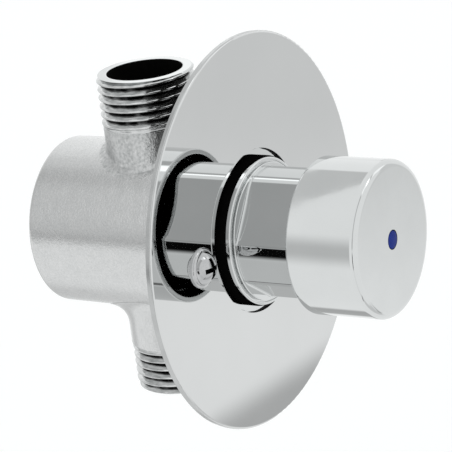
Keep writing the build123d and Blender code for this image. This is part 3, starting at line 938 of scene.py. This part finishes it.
def dress(finish: Finish, *nodes: str) -> None:
    """Gives CAD nodes that stay as they are a finish.

    Args:
        finish: the finish.
        *nodes: the CAD nodes.
    """
    for node in nodes:
        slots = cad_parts[node].data.materials
        slots.clear()
        slots.append(finish.material())
        LOG.info("CAD node %s is dressed in %s", node, finish.name)


# Sub-assemblies


@dataclass
class CartridgeBarrel:
    """The turned barrel that stands out of the plate, with its flange, groove, spanner flats and bores.

    Each flat is the turn of its middle, in degrees from -X over +Z, and its distance from the axis.
    """

    columns: int = 480
    radius: float = 14.0
    front: float = -21.5
    front_edge: float = 0.6
    collar_radius: float = 14.6
    collar_front: float = -4.1
    collar_edge: float = 0.2
    collar_root: float = 0.06
    groove_radius: float = 14.95
    groove_floor: float = -3.3
    groove_root: float = 0.05
    groove_edge: float = 0.08
    flange_front: float = -3.6
    flange_radius: float = 15.6
    flange_edge: float = 0.35
    flange_back: float = -2.4
    flange_back_edge: float = 0.12
    tail_radius: float = 13.8
    tail_end: float = 11.0
    tail_root: float = 0.1
    tail_edge: float = 0.4
    bore_radius: float = 10.5
    bore_edge: float = 0.3
    wall_back: float = -13.5
    wall_edge: float = 0.2
    hole_radius: float = 6.5
    recess_floor: float = -16.5
    recess_radius: float = 7.0
    recess_edge: float = 0.3
    recess_root: float = 0.1
    flats: tuple[tuple[float, float], ...] = ((37.0, 12.3), (-143.0, 12.3), (-55.5, 12.75), (124.5, 12.75))
    flats_foot: float = 0.35
    flats_row: float = 0.6
    edge_polish: float = 0.35
    worn_polish: float = 1.2
    sharp_angle: float = radians(20)

    def outline(self) -> np.ndarray:
        """Closed outline (radius, y) of the barrel with small rounds on every corner.

        Returns:
            The outline's points, one row a point.
        """
        return rounded([
            (self.recess_radius, self.front, self.recess_edge),
            (self.radius, self.front, self.front_edge),
            (self.radius, self.collar_front, self.collar_root),
            (self.collar_radius, self.collar_front, self.collar_edge),
            (self.collar_radius, self.groove_floor, self.groove_root),
            (self.groove_radius, self.groove_floor, self.groove_root),
            (self.groove_radius, self.flange_front, self.groove_edge),
            (self.flange_radius, self.flange_front, self.flange_edge),
            (self.flange_radius, self.flange_back, self.flange_back_edge),
            (self.tail_radius, self.flange_back, self.tail_root),
            (self.tail_radius, self.tail_end, self.tail_edge),
            (self.bore_radius, self.tail_end, self.bore_edge),
            (self.bore_radius, self.wall_back, self.wall_edge),
            (self.hole_radius, self.wall_back, self.wall_edge),
            (self.hole_radius, self.recess_floor, self.recess_root),
            (self.recess_radius, self.recess_floor, self.recess_root),
        ])

    def outline_with_rows(self) -> np.ndarray:
        """The outline with rows added on the barrel's side, closest together at the flats' foot.

        Returns:
            The outline's points, one row a point.
        """
        outline = self.outline()
        from_front, from_foot = 1.0, 0.2
        foot_shares = np.array([1.0, 0.75, 0.5, 0.3, 0.18])
        foot_rows = self.collar_front - self.flats_foot * foot_shares
        plain_rows = np.arange(self.front + from_front, foot_rows[0] - from_foot, self.flats_row)
        along = np.concatenate([plain_rows, foot_rows])
        on_side = (np.abs(outline[:, 0] - self.radius) < TINY) & (outline[:, 1] < self.collar_front)
        side = np.flatnonzero(on_side)
        at = side[side > side[0]][np.argmax(np.diff(outline[side, 1]))]
        along = along[(along > outline[at - 1, 1]) & (along < outline[at, 1])]
        added = np.stack([np.full(len(along), self.radius), along], axis=1)
        return np.insert(outline, at, added, axis=0)

    def grid(self) -> np.ndarray:
        """The barrel's surface with the four flats pressed into it.

        In front of the collar the radius is the least of the turned one and each flat's
        apothem / cos(angle to its middle), and where the two differ by less than the polish,
        (polish - difference)^2 / (4 polish) comes off too, which rounds the edge. The upper edge in view
        is worn softer than the rest. At the collar a quarter round fills the flat's foot: it rises by
        foot (1 - sqrt(1 - s^2)), where s runs from 0 to 1 over the foot's length.

        Returns:
            Points by row, column and coordinate.
        """
        grid = turned_grid(self.outline_with_rows(), self.columns)
        radius = np.hypot(grid[..., 0], grid[..., 2])
        angle = np.arctan2(grid[..., 2], grid[..., 0])
        within = (grid[..., 1] < self.collar_front + TINY) & (radius > self.bore_radius)
        share = np.clip((grid[..., 1] - self.collar_front) / self.flats_foot + 1, 0, 1)
        foot = self.flats_foot * (1 - np.sqrt(1 - share ** 2))
        lesser = radius
        least_cosine = 0.2
        for middle, apothem in self.flats:
            off = np.angle(np.exp(1j * (angle - pi + radians(middle))))
            flat = apothem / np.maximum(np.cos(off), least_cosine) + foot
            worn = (off < 0) & (0 < middle < 90)
            polish = np.where(worn, self.worn_polish, self.edge_polish)
            near = np.maximum(polish - np.abs(lesser - flat), 0)
            lesser = np.minimum(lesser, flat) - near ** 2 / (4 * polish)
        wanted = np.where(within, lesser, radius)
        scale = (wanted / np.maximum(radius, TINY))[..., None]
        return grid * np.concatenate([scale, np.ones_like(scale), scale], axis=2)

    def build(self) -> None:
        """Makes the barrel in place of its CAD node."""
        mesh = shell("cartridge_barrel_chrome", [(self.grid(), True)], self.sharp_angle)
        add_piece(mesh, VALVE, POLISHED, "barrel_chrome", "cartridge_barrel")


@dataclass
class PushButton:
    """The button: turned cap with a soft front edge, open behind, and its coloured dot."""

    columns: int = 480
    steps: int = 13
    radius: float = 16.5
    face: float = CAP_FACE
    rim: float = -17.0
    wall: float = 1.2
    front_round: float = 1.35
    rim_round: float = 0.4
    rim_inner_round: float = 0.3
    inside: float = -30.8
    inside_round: float = 0.5
    boss_radius: float = 6.0
    boss_back: float = -28.0
    boss_round: float = 0.3
    bore_radius: float = 3.05
    bore_edge: float = 0.1
    pocket_root: float = 0.1
    pocket_edge: float = 0.12
    dot_columns: int = 96
    dome_rows: int = 14
    edge_rows: int = 7
    dot_radius: float = 1.9
    dot_gap: float = 0.14
    dot_edge: float = 0.14
    dot_depth: float = 1.0
    dot_rise: float = 0.15
    dot_clearance: float = 0.02

    def cap_grid(self) -> np.ndarray:
        """The cap, turned from an outline that runs from the dot's pocket round the outside to the bore.

        Returns:
            Points by row, column and coordinate.
        """
        pocket = self.dot_radius + self.dot_gap
        inner = self.radius - self.wall
        return turned_grid(rounded([
            (0, self.face + self.dot_depth, 0),
            (pocket, self.face + self.dot_depth, self.pocket_root),
            (pocket, self.face, self.pocket_edge),
            (self.radius, self.face, self.front_round),
            (self.radius, self.rim, self.rim_round),
            (inner, self.rim, self.rim_inner_round),
            (inner, self.inside, self.inside_round),
            (self.boss_radius, self.inside, self.boss_round),
            (self.boss_radius, self.boss_back, self.boss_round),
            (self.bore_radius, self.boss_back, self.bore_edge),
            (self.bore_radius, self.inside, self.bore_edge),
            (0, self.inside, 0),
        ], self.steps, closed=False), self.columns)

    def dot_grid(self) -> np.ndarray:
        """Domed dot: the height falls off with the square of the radius to a rounded edge.

        Returns:
            Points by row, column and coordinate.
        """
        radius = np.linspace(0, self.dot_radius - self.dot_edge, self.dome_rows)
        dome = self.face - self.dot_rise * (1 - (radius / self.dot_radius) ** 2)
        turn = np.linspace(0, pi / 2, self.edge_rows)[1:]
        edge_radius = radius[-1] + self.dot_edge * np.sin(turn)
        edge = dome[-1] + self.dot_edge * (1 - np.cos(turn))
        back = self.face + self.dot_depth - self.dot_clearance
        outline = np.concatenate([
            np.stack([radius, dome], axis=1),
            np.stack([edge_radius, edge], axis=1),
            np.array([(self.dot_radius, back), (0, back)]),
        ])
        return turned_grid(outline, self.dot_columns)

    def build(self) -> None:
        """Makes the cap and the dot in place of their CAD nodes."""
        cap = shell("button_cap_chrome", [(self.cap_grid(), False)])
        add_piece(cap, BUTTON, POLISHED, "cap_chrome", "button_cap")
        dot = shell("index_dot_enamel", [(self.dot_grid(), False)])
        add_piece(dot, BUTTON, BLUE, "blue_index", "index_dot")


class Port(Enum):
    """The two threaded ports: their sign along Z."""

    INLET = 1
    OUTLET = -1


@dataclass
class ThreadedPort:
    """One male G1/2 port: the neck that grows out of the casting and the cut thread."""

    port: Port
    neck_radius: float
    root_round: float
    shoulder: float
    reach: float
    casting_radius: float = 18.3
    sunk: float = 0.5
    crest: float = 10.4775
    crest_clearance: float = 0.02
    pitch: float = 1.8143
    groove: float = 1.162
    rows_in_turn: int = 18
    lead_in: float = 0.5
    chamfer: float = 0.45
    rim_edge: float = 0.12
    rim_inner_edge: float = 0.3
    throat: float = 3.0
    columns: int = 320

    def placed(self, radius: np.ndarray, height: np.ndarray, angle: np.ndarray) -> np.ndarray:
        """Points about the port's axis.

        Args:
            radius: distances from the port's axis.
            height: distances from the push axis.
            angle: turns about the port's axis.

        Returns:
            The points, with their coordinates along a last axis.
        """
        along_y = PORT_DEPTH + radius * np.sin(angle)
        return np.stack([radius * np.cos(angle), along_y, self.port.value * height], axis=-1)

    def neck_grid(self) -> np.ndarray:
        """The neck with its root round, as a ball of the round's radius would leave it.

        For each angle the ball's middle is round + casting radius from the push axis and round + neck
        radius from the port's axis. It touches the casting on the line to the push axis and the neck on
        the line to the port's axis, and the arc between the two is swept about the ball's middle.

        Returns:
            Points by row, column and coordinate.
        """
        arc_rows, neck_rows = 20, 30
        ball, neck, cast = self.root_round, self.neck_radius, self.casting_radius
        angle = np.linspace(0, FULL_TURN, self.columns, endpoint=False)
        x = (neck + ball) * np.cos(angle)
        z = np.sqrt((cast + ball) ** 2 - x ** 2)
        middle = np.stack([x, PORT_DEPTH + (neck + ball) * np.sin(angle), z], axis=1)
        to_cast = -np.stack([x, np.zeros_like(x), z], axis=1) / (cast + ball)
        to_neck = -np.stack([np.cos(angle), np.sin(angle), np.zeros_like(x)], axis=1)
        between = np.arccos(np.clip((to_cast * to_neck).sum(1), -1, 1))
        share = np.linspace(0, 1, arc_rows)[:, None]
        blend_cast = (np.sin((1 - share) * between) / np.sin(between))[..., None]
        blend_neck = (np.sin(share * between) / np.sin(between))[..., None]
        arc = middle[None] + ball * (blend_cast * to_cast[None] + blend_neck * to_neck[None])
        rise = np.linspace(0, 1, neck_rows)[1:, None]
        height = z[None] + (self.shoulder - z[None]) * rise
        ring_x = np.broadcast_to(neck * np.cos(angle), height.shape)
        ring_y = np.broadcast_to(PORT_DEPTH + neck * np.sin(angle), height.shape)
        straight = np.stack([ring_x, ring_y, height], axis=2)
        root = arc[:1] + self.sunk * to_cast[None]
        grid = np.concatenate([root, arc, straight], axis=0)
        grid[..., 2] *= self.port.value
        return grid

    def thread_grid(self) -> np.ndarray:
        """The thread as a radius over angle and height, closed by the port's rim and throat.

        The phase is height / pitch less turns round the axis. A triangle wave of it, stretched past 0 and
        1 and clipped softly there, gives a vee with rounded crest and root, cut as deep as the groove. The
        cut fades out over most of a turn at the shoulder, and a cone takes the crest down at the tip.

        Returns:
            Points by row, column and coordinate.
        """
        stretch, soft, fade_turns = 1.5, 0.09, 0.8
        rows = int(round((self.reach - self.shoulder) / self.pitch * self.rows_in_turn))
        height = np.linspace(self.shoulder, self.reach, rows)[:, None]
        angle = np.linspace(0, FULL_TURN, self.columns, endpoint=False)[None, :]
        phase = (height / self.pitch - self.port.value * angle / FULL_TURN) % 1
        triangle = np.abs(2 * phase - 1) * stretch - (stretch - 1) / 2
        top = 1 - (triangle + np.sqrt(triangle ** 2 + soft ** 2)) / 2
        form = 1 - (top + np.sqrt(top ** 2 + soft ** 2)) / 2
        above = height - self.shoulder
        fade = np.clip(above / (fade_turns * self.pitch), 0, 1)
        cut = self.crest - self.crest_clearance - self.groove * (1 - np.clip(form, 0, 1)) * fade
        blend = np.clip(above / self.lead_in, 0, 1)
        radius = self.neck_radius * (1 - blend) + np.minimum(cut, self.crest) * blend
        edge = self.crest - self.chamfer
        radius = np.minimum(radius, edge + self.reach - height)
        grid = self.placed(*np.broadcast_arrays(radius, height, angle))
        outline = rounded([
            (edge + 1.0, self.reach - 1.0, 0),
            (edge, self.reach, self.rim_edge),
            (PORT_BORE_RADIUS, self.reach, self.rim_inner_edge),
            (PORT_BORE_RADIUS, self.reach - self.throat, 0),
        ], closed=False)[1:]
        radius, height = (np.repeat(column[:, None], self.columns, axis=1) for column in outline.T)
        rim = self.placed(radius, height, np.repeat(angle, len(outline), axis=0))
        return np.concatenate([grid[:-2], rim], axis=0)

    def build(self) -> None:
        """Makes the thread, with its polished tip and near-black painted shade in its bore, in front of the
        casting's neck.
        """
        tip, wall = 0.15, 0.12
        mesh = shell(self.port.name.lower() + "_thread", [(self.thread_grid(), False)])
        self.face_out(mesh)
        piece = add_piece(mesh, VALVE, THREAD_CHROME, "cast_body")
        centre, _, from_port = face_places(mesh)
        second_finish(piece, POLISHED, np.abs(centre[:, 2]) > self.reach - tip)
        # The bore gets near-black painted shade.
        second_finish(piece, BORE_SHADE, from_port < PORT_BORE_RADIUS + wall)

    def face_out(self, mesh: bpy.types.Mesh) -> None:
        """Turns an open thread shell's faces away from the port's wall, by the face furthest out.

        Args:
            mesh: the shell.
        """
        centre, _, from_port = face_places(mesh)
        widest = from_port.argmax()
        outward = centre[widest, :2] - np.array([0, PORT_DEPTH])
        if face_rows(mesh, "normal")[widest, :2] @ outward < 0:
            with edited(mesh) as work:
                bmesh.ops.reverse_faces(work, faces=work.faces)
            smooth(mesh)


@dataclass
class CastBody:
    """The in-wall casting: drafted barrel, collar and ears, two threaded ports and the waterways inside."""

    collar_depth: float = 6.0
    front_radius: float = 18.5
    rear_radius: float = 18.0
    rear: float = 45.5
    rear_round: float = 1.0
    lap: float = 0.6
    chamber_radius: float = 15.0
    neck_radius: float = 10.9
    neck_foot: float = 12.0
    longest_reach: float = 36.0
    spacing: float = 0.42
    columns: int = 270
    lump_height: float = 0.007
    lump_size: float = 3.6
    fine_lump_size: float = 1.5
    fine_lump_share: float = 0.4

    def ports(self) -> list[ThreadedPort]:
        """The inlet above and the outlet below."""
        return [
            ThreadedPort(Port.INLET, neck_radius=10.25, root_round=1.6, shoulder=23.5, reach=34.5),
            ThreadedPort(Port.OUTLET, neck_radius=10.6, root_round=4.5, shoulder=25.5, reach=35.5),
        ]

    def barrel_grid(self) -> np.ndarray:
        """The casting's outside behind the collar, turned and closed by its rear face.

        Returns:
            Points by row, column and coordinate.
        """
        front = self.collar_depth - self.lap
        outline = rounded([
            (self.front_radius - self.lap, front, 0),
            (self.front_radius, front, 0),
            (self.rear_radius, self.rear, self.rear_round),
            (0, self.rear, 0),
        ], steps=9, closed=False)
        return turned_grid(resampled(outline, self.spacing), self.columns)

    def skin(self) -> bpy.types.Mesh:
        """The cast surface with its necks, roughened, and opened where the ports' bores are.

        Returns:
            The skin's mesh.
        """
        wall = 0.9
        grids = [self.barrel_grid()] + [port.neck_grid() for port in self.ports()]
        mesh = shell("casting_skin", [(grid, False) for grid in grids])
        self.roughen(mesh)
        centre, _, from_port = face_places(mesh)
        drop_faces(mesh, (from_port < PORT_BORE_RADIUS + wall) & (np.abs(centre[:, 2]) > self.chamber_radius))
        return mesh

    def cad_part(self) -> bpy.types.Mesh:
        """The CAD body's own collar, ears and waterways, without the skin that new surfaces stand for.

        Returns:
            The mesh that is left.
        """
        hair, wall, chamber_wall = 0.01, 0.2, 1.0
        mesh = clean_copy("valve_body", "casting_inside")
        centre, from_axis, from_port = face_places(mesh)
        barrel_skin = (from_axis > self.chamber_radius + chamber_wall) & (from_port > PORT_BORE_RADIUS + wall)
        rear_face = centre[:, 1] > self.rear - hair
        drop_faces(mesh, (centre[:, 1] > self.collar_depth + hair) & (barrel_skin | rear_face))
        smooth(mesh)
        return mesh

    def build(self) -> None:
        """Makes the casting and its threads in place of the CAD body."""
        mesh = joined("valve_body_casting", self.skin(), self.cad_part())
        piece = add_piece(mesh, VALVE, SATIN_CAST, "cast_body", "valve_body")
        self.finish_inside(piece)
        for port in self.ports():
            port.build()

    def finish_inside(self, piece: bpy.types.Object) -> None:
        """Gives the waterways near-black painted shade, and the mouth spigot and the inlet's neck their own
        finishes.

        Args:
            piece: the casting.
        """
        chamber_wall, rear_wall, bore_wall, spigot_back, neck_band = 0.6, 0.3, 0.3, -0.2, 1.0
        centre, from_axis, from_port = face_places(piece.data)
        chamber = (from_axis < self.chamber_radius + chamber_wall) & (centre[:, 1] < self.rear - rear_wall)
        bores = (from_port < PORT_BORE_RADIUS + bore_wall) & (from_axis < self.longest_reach)
        # The chambers and the bores get near-black painted shade.
        second_finish(piece, BORE_SHADE, chamber | bores)
        second_finish(piece, POLISHED, (centre[:, 1] < spigot_back) & (from_axis > self.chamber_radius))
        on_neck = (np.abs(from_port - self.neck_radius) < neck_band) & (centre[:, 2] > self.neck_foot)
        second_finish(piece, ROUGH_CAST, on_neck & (centre[:, 1] > self.collar_depth))

    def roughen(self, mesh: bpy.types.Mesh) -> None:
        """Moves every point along its normal by the casting's smooth random height, never past the rear.

        Args:
            mesh: the casting's skin.
        """
        seed, fine_seed = 7, 8
        points = np.zeros(len(mesh.vertices) * 3, np.float32)
        normals = np.zeros_like(points)
        mesh.vertices.foreach_get("co", points)
        mesh.vertex_normals.foreach_get("vector", normals)
        points = points.reshape(-1, 3).astype(float) / MM
        fine = self.fine_lump_share * ripples(points, self.fine_lump_size, fine_seed)
        height = self.lump_height * (ripples(points, self.lump_size, seed) + fine)
        moved = points + normals.reshape(-1, 3) * (height - self.lump_height)[:, None]
        moved[:, 1] = np.minimum(moved[:, 1], self.rear)
        mesh.vertices.foreach_set("co", (moved * MM).astype(np.float32).ravel())
        mesh.update()


@dataclass
class ReturnSpring:
    """The coil spring; the real one shortens towards its seat as the button goes in."""

    joint: str = "button_press"
    travel: float = 8.0
    seat: float = 14.6
    length: float = 19.8

    def build(self) -> None:
        """Makes the spring in place of its CAD node; the real spring's share left at full travel is 1 -
        travel / length.
        """
        mesh = clean_copy("return_spring", "return_spring_wire")
        piece = add_piece(mesh, VALVE, SPRING, "spring_steel", "return_spring")
        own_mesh(piece)


@dataclass
class WallPlate:
    """The thin round plate and its two crossed pan-head screws, as the CAD has them."""

    thickness: float = 1.2
    rim_radius: float = 42.0
    rim_round: float = 0.45
    rim_band: float = 0.12
    hole_radius: float = 17.4
    hair: float = 0.05

    def build(self) -> None:
        """Dresses clean copies of the plate and the screws in place of their CAD nodes."""
        mesh = clean_copy("wall_plate", "wall_plate_chrome")
        crease_flats(mesh)
        piece = add_piece(mesh, VALVE, MIRROR, "plate_chrome", "wall_plate")
        self.finish_faces(piece)
        weigh_normals(piece)
        for node in ("plate_screw_near", "plate_screw_far"):
            screw = clean_copy(node, node + "_chrome")
            weigh_normals(add_piece(screw, VALVE, SCREW_CHROME, "screw_steel", node))

    def finish_faces(self, piece: bpy.types.Object) -> None:
        """Gives the plate's rim its own finish, its back dark painted shade and the wall of its hole
        near-black painted shade.

        Args:
            piece: the plate.
        """
        centre, from_axis, _ = face_places(piece.data)
        second_finish(piece, PLATE_RIM, from_axis > self.rim_radius - self.rim_band)
        within = from_axis < self.rim_radius - self.rim_round
        wall = (from_axis < self.hole_radius + self.hair) & (centre[:, 1] > self.hair - self.thickness)
        # The plate's back gets dark painted shade, the wall of its hole near-black painted shade.
        second_finish(piece, PLATE_BACK_SHADE, within & ~wall & (centre[:, 1] > self.thickness / -4))
        second_finish(piece, BORE_SHADE, wall)


# Camera and surroundings


@dataclass
class Camera:
    """The photograph's viewpoint: turn from -Y towards -X, elevation, roll and distance, with two offsets."""

    azimuth: float = radians(57.38)
    elevation: float = radians(18.16)
    roll: float = radians(-7.27)
    distance: float = 547.4
    right_offset: float = 5.79
    up_offset: float = -0.81
    focal_pixels: float = 2598.5
    image_pixels: float = 452.0
    sensor: float = 36.0
    nearest: float = 10.0
    furthest: float = 50000.0

    def build(self) -> None:
        """Makes the camera and sets it as the scene's."""
        a, e, r = self.azimuth, self.elevation, self.roll
        back = Vector((-sin(a) * cos(e), -cos(a) * cos(e), sin(e)))
        level = Vector((0, 0, 1)).cross(back).normalized()
        upright = back.cross(level)
        right = level * cos(r) + upright * sin(r)
        up = upright * cos(r) - level * sin(r)
        place = back * self.distance - right * self.right_offset - up * self.up_offset
        data = bpy.data.cameras.new("camera")
        data.sensor_width = self.sensor
        data.lens = self.focal_pixels * self.sensor / self.image_pixels
        data.clip_start, data.clip_end = self.nearest * MM, self.furthest * MM
        camera = bpy.data.objects.new("camera", data)
        bpy.context.scene.collection.objects.link(camera)
        turn = Matrix((right, up, back)).transposed().to_4x4()
        turn.translation = place * MM
        camera.matrix_world = turn
        bpy.context.scene.camera = camera


@dataclass(frozen=True)
class Strip:
    """A long panel beside the object, parallel to the push axis, as chrome mirrors it.

    Attributes:
        turn: its middle, degrees about the push axis from -X up over +Z.
        half: half its width in degrees.
        edge: softness of its long edges in degrees.
        level: brightness, where 1 is white.
        near: where it starts along Y, as the Y part of the direction towards it.
        far: where it ends along Y.
        end: softness of its ends.
        slant: degrees that its middle turns through for each unit along Y, counted from SLANT_START.
    """

    turn: float
    half: float
    edge: float
    level: float
    near: float = -0.62
    far: float = -0.42
    end: float = 0.03
    slant: float = 0.0


SLANT_START = 0.47

# Panels in front of the wall plate, as the plate and the barrel mirror them
IN_FRONT = (
    Strip(-178, 19, 3, 0.79),
    Strip(-207.0, 5.5, 0.5, 0.54, near=-0.514, far=-0.472, end=0.006, slant=-60.0),
    Strip(145, 17, 2, 1.3),
    Strip(123, 5.5, 1.5, 0.72),
    Strip(111, 6.5, 2.5, 2.2),
    Strip(96, 9, 3, 1.3),
    Strip(45, 41, 2.5, 0.62),
    Strip(10, 8, 4, 0.53),
    Strip(-56, 24, 2, 0.91),
    Strip(-15.2, 12.2, 5, 0.004, near=-0.58, far=-0.45, end=0.012),
    Strip(-82, 2.8, 1.2, 0.22),
    Strip(-115, 28, 3, 0.74),
)

# Panels behind the plate's plane, as the button's side mirrors them
BESIDE_BUTTON = (
    Strip(127, 25, 2, 0.7, near=0.42, far=0.515, end=0.01, slant=-1800.0),
    Strip(100, 1.3, 0.8, 0.55, near=0.42, far=0.515, end=0.01, slant=-1800.0),
    Strip(148, 19, 2, 1.06, near=0.42, far=0.515, end=0.01),
    Strip(-2.5, 15, 12, 0.64, near=0.30, far=0.515, end=0.01),
    Strip(-120, 11, 4, 0.5, near=0.30, far=0.515, end=0.01),
    Strip(155, 25, 3, 1.22, near=0.498, far=0.55, end=0.004),
)

# Panels behind the object, as the casting mirrors them
BEHIND = (
    Strip(46, 57, 8, 0.69, near=0.53, far=1.5),
    Strip(78, 11, 7, 0.58, near=0.53, far=1.5),
    Strip(107, 9, 4, 0.81, near=0.53, far=1.5),
    Strip(-9, 4.5, 3, 0.45, near=0.53, far=1.5),
    Strip(-118, 25, 14, 0.72, near=0.53, far=1.5),
)


def strip_group() -> bpy.types.NodeTree:
    """Mask of one long panel: 1 inside its range of turn and of reach along Y, soft at the edges.

    Returns:
        The node group.
    """
    amounts = {"Turn": 0.0, "Inner": 0.1, "Outer": 0.2, "Near": -1.0, "Far": 1.0, "End": 0.03, "Slant": 0.0}
    tree, given = new_group("strip_panel", amounts, "Mask")
    part = tree.parts(tree.add("ShaderNodeTexCoord").outputs["Generated"])
    turn = tree.math("ARCTAN2", part["Z"], tree.math("MULTIPLY", part["X"], -1.0))
    along = tree.math("SUBTRACT", part["Y"], SLANT_START)
    shift = tree.math("MULTIPLY_ADD", along, given["Slant"], given["Turn"])
    off = tree.math("ABSOLUTE", tree.math("WRAP", tree.math("SUBTRACT", turn, shift), pi, -pi))
    across = tree.span(off, given["Inner"], given["Outer"], 1.0, 0.0, "SMOOTHSTEP")
    ends = [
        tree.span(part["Y"], tree.math("SUBTRACT", given[end], given["End"]),
                  tree.math("ADD", given[end], given["End"]), start, 1 - start, "SMOOTHSTEP")
        for end, start in (("Near", 0.0), ("Far", 1.0))
    ]
    tree.add("NodeGroupOutput", Mask=tree.math("MULTIPLY", across, tree.math("MULTIPLY", *ends)))
    return tree.tree


@dataclass
class Studio:
    """Pale floor and soft light round the object."""

    floor_level: float = -160.0
    floor_size: float = 6000.0
    floor_glow: float = 0.05
    panel_tint: tuple[float, float, float, float] = (0.985, 1.0, 1.0, 1.0)

    def build(self) -> None:
        """Makes the floor and the panels round the object."""
        self.floor()
        self.world()

    def floor(self) -> None:
        """Makes a plain pale floor that keeps the object's soft shadow."""
        half, z = self.floor_size / 2 * MM, self.floor_level * MM
        mesh = bpy.data.meshes.new("floor")
        corners = [(-half, -half, z), (half, -half, z), (half, half, z), (-half, half, z)]
        mesh.from_pydata(corners, [], [(0, 1, 2, 3)])
        piece = bpy.data.objects.new("floor", mesh)
        bpy.context.scene.collection.objects.link(piece)
        piece.visible_glossy = False
        made = bpy.data.materials.new("floor_white")
        made.use_nodes = True
        made.node_tree.nodes.clear()
        tree = Tree(made.node_tree)
        matt = tree.add("ShaderNodeBsdfDiffuse", Color=WHITE)
        glow = tree.add("ShaderNodeEmission", Color=WHITE, Strength=self.floor_glow)
        both = tree.add("ShaderNodeAddShader", _0=matt.outputs[0], _1=glow.outputs[0])
        tree.add("ShaderNodeOutputMaterial", Surface=both.outputs[0])
        mesh.materials.append(made)

    def world(self) -> None:
        """Makes white surroundings for the camera, and long panels of other tones for what chrome mirrors."""
        world = bpy.data.worlds.new("studio")
        bpy.context.scene.world = world
        world.use_nodes = True
        world.node_tree.nodes.clear()
        tree = Tree(world.node_tree)
        group = strip_group()
        tone: object = 1.0
        for strip in IN_FRONT + BESIDE_BUTTON + BEHIND:
            mask = tree.add("ShaderNodeGroup", {"node_tree": group}, Turn=radians(strip.turn),
                            Inner=radians(strip.half - strip.edge), Outer=radians(strip.half + strip.edge),
                            Near=strip.near, Far=strip.far, End=strip.end, Slant=radians(strip.slant))
            tone = tree.mix(mask.outputs[0], tone, strip.level)
        panels = tree.add("ShaderNodeBackground", Color=self.panel_tint, Strength=tone)
        white = tree.add("ShaderNodeBackground", Color=WHITE, Strength=1.0)
        rays = tree.add("ShaderNodeLightPath").outputs
        seen = tree.math("MAXIMUM", rays["Is Camera Ray"], rays["Is Transmission Ray"])
        both = tree.add("ShaderNodeMixShader", Fac=seen, _1=panels.outputs[0], _2=white.outputs[0])
        tree.add("ShaderNodeOutputWorld", Surface=both.outputs[0])


def main() -> None:
    """Builds camera, studio and every sub-assembly in order."""
    logging.basicConfig(level=logging.INFO, format="%(name)s: %(message)s")
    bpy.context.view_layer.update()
    bpy.context.scene.view_settings.view_transform = "Standard"
    parts = (Camera(), Studio(), CastBody(), CartridgeBarrel(), PushButton(), ReturnSpring(), WallPlate())
    for part in parts:
        part.build()
    dress(RUBBER, "mouth_seal_ring", "bush_seal", "stem_seal", "stem_wiper", "cage_seal", "piston_lip_seal",
          "valve_washer")
    dress(ACETAL, "guide_bush", "timing_piston")
    dress(SPRING, "bush_circlip", "piston_clip")
    dress(BRASS, "tail_cage", "cap_lock_nut", "valve_holder", "tail_nut")
    dress(STAINLESS, "seat_ring", "spring_washer", "stem")


if __name__ == "__main__":
    main()
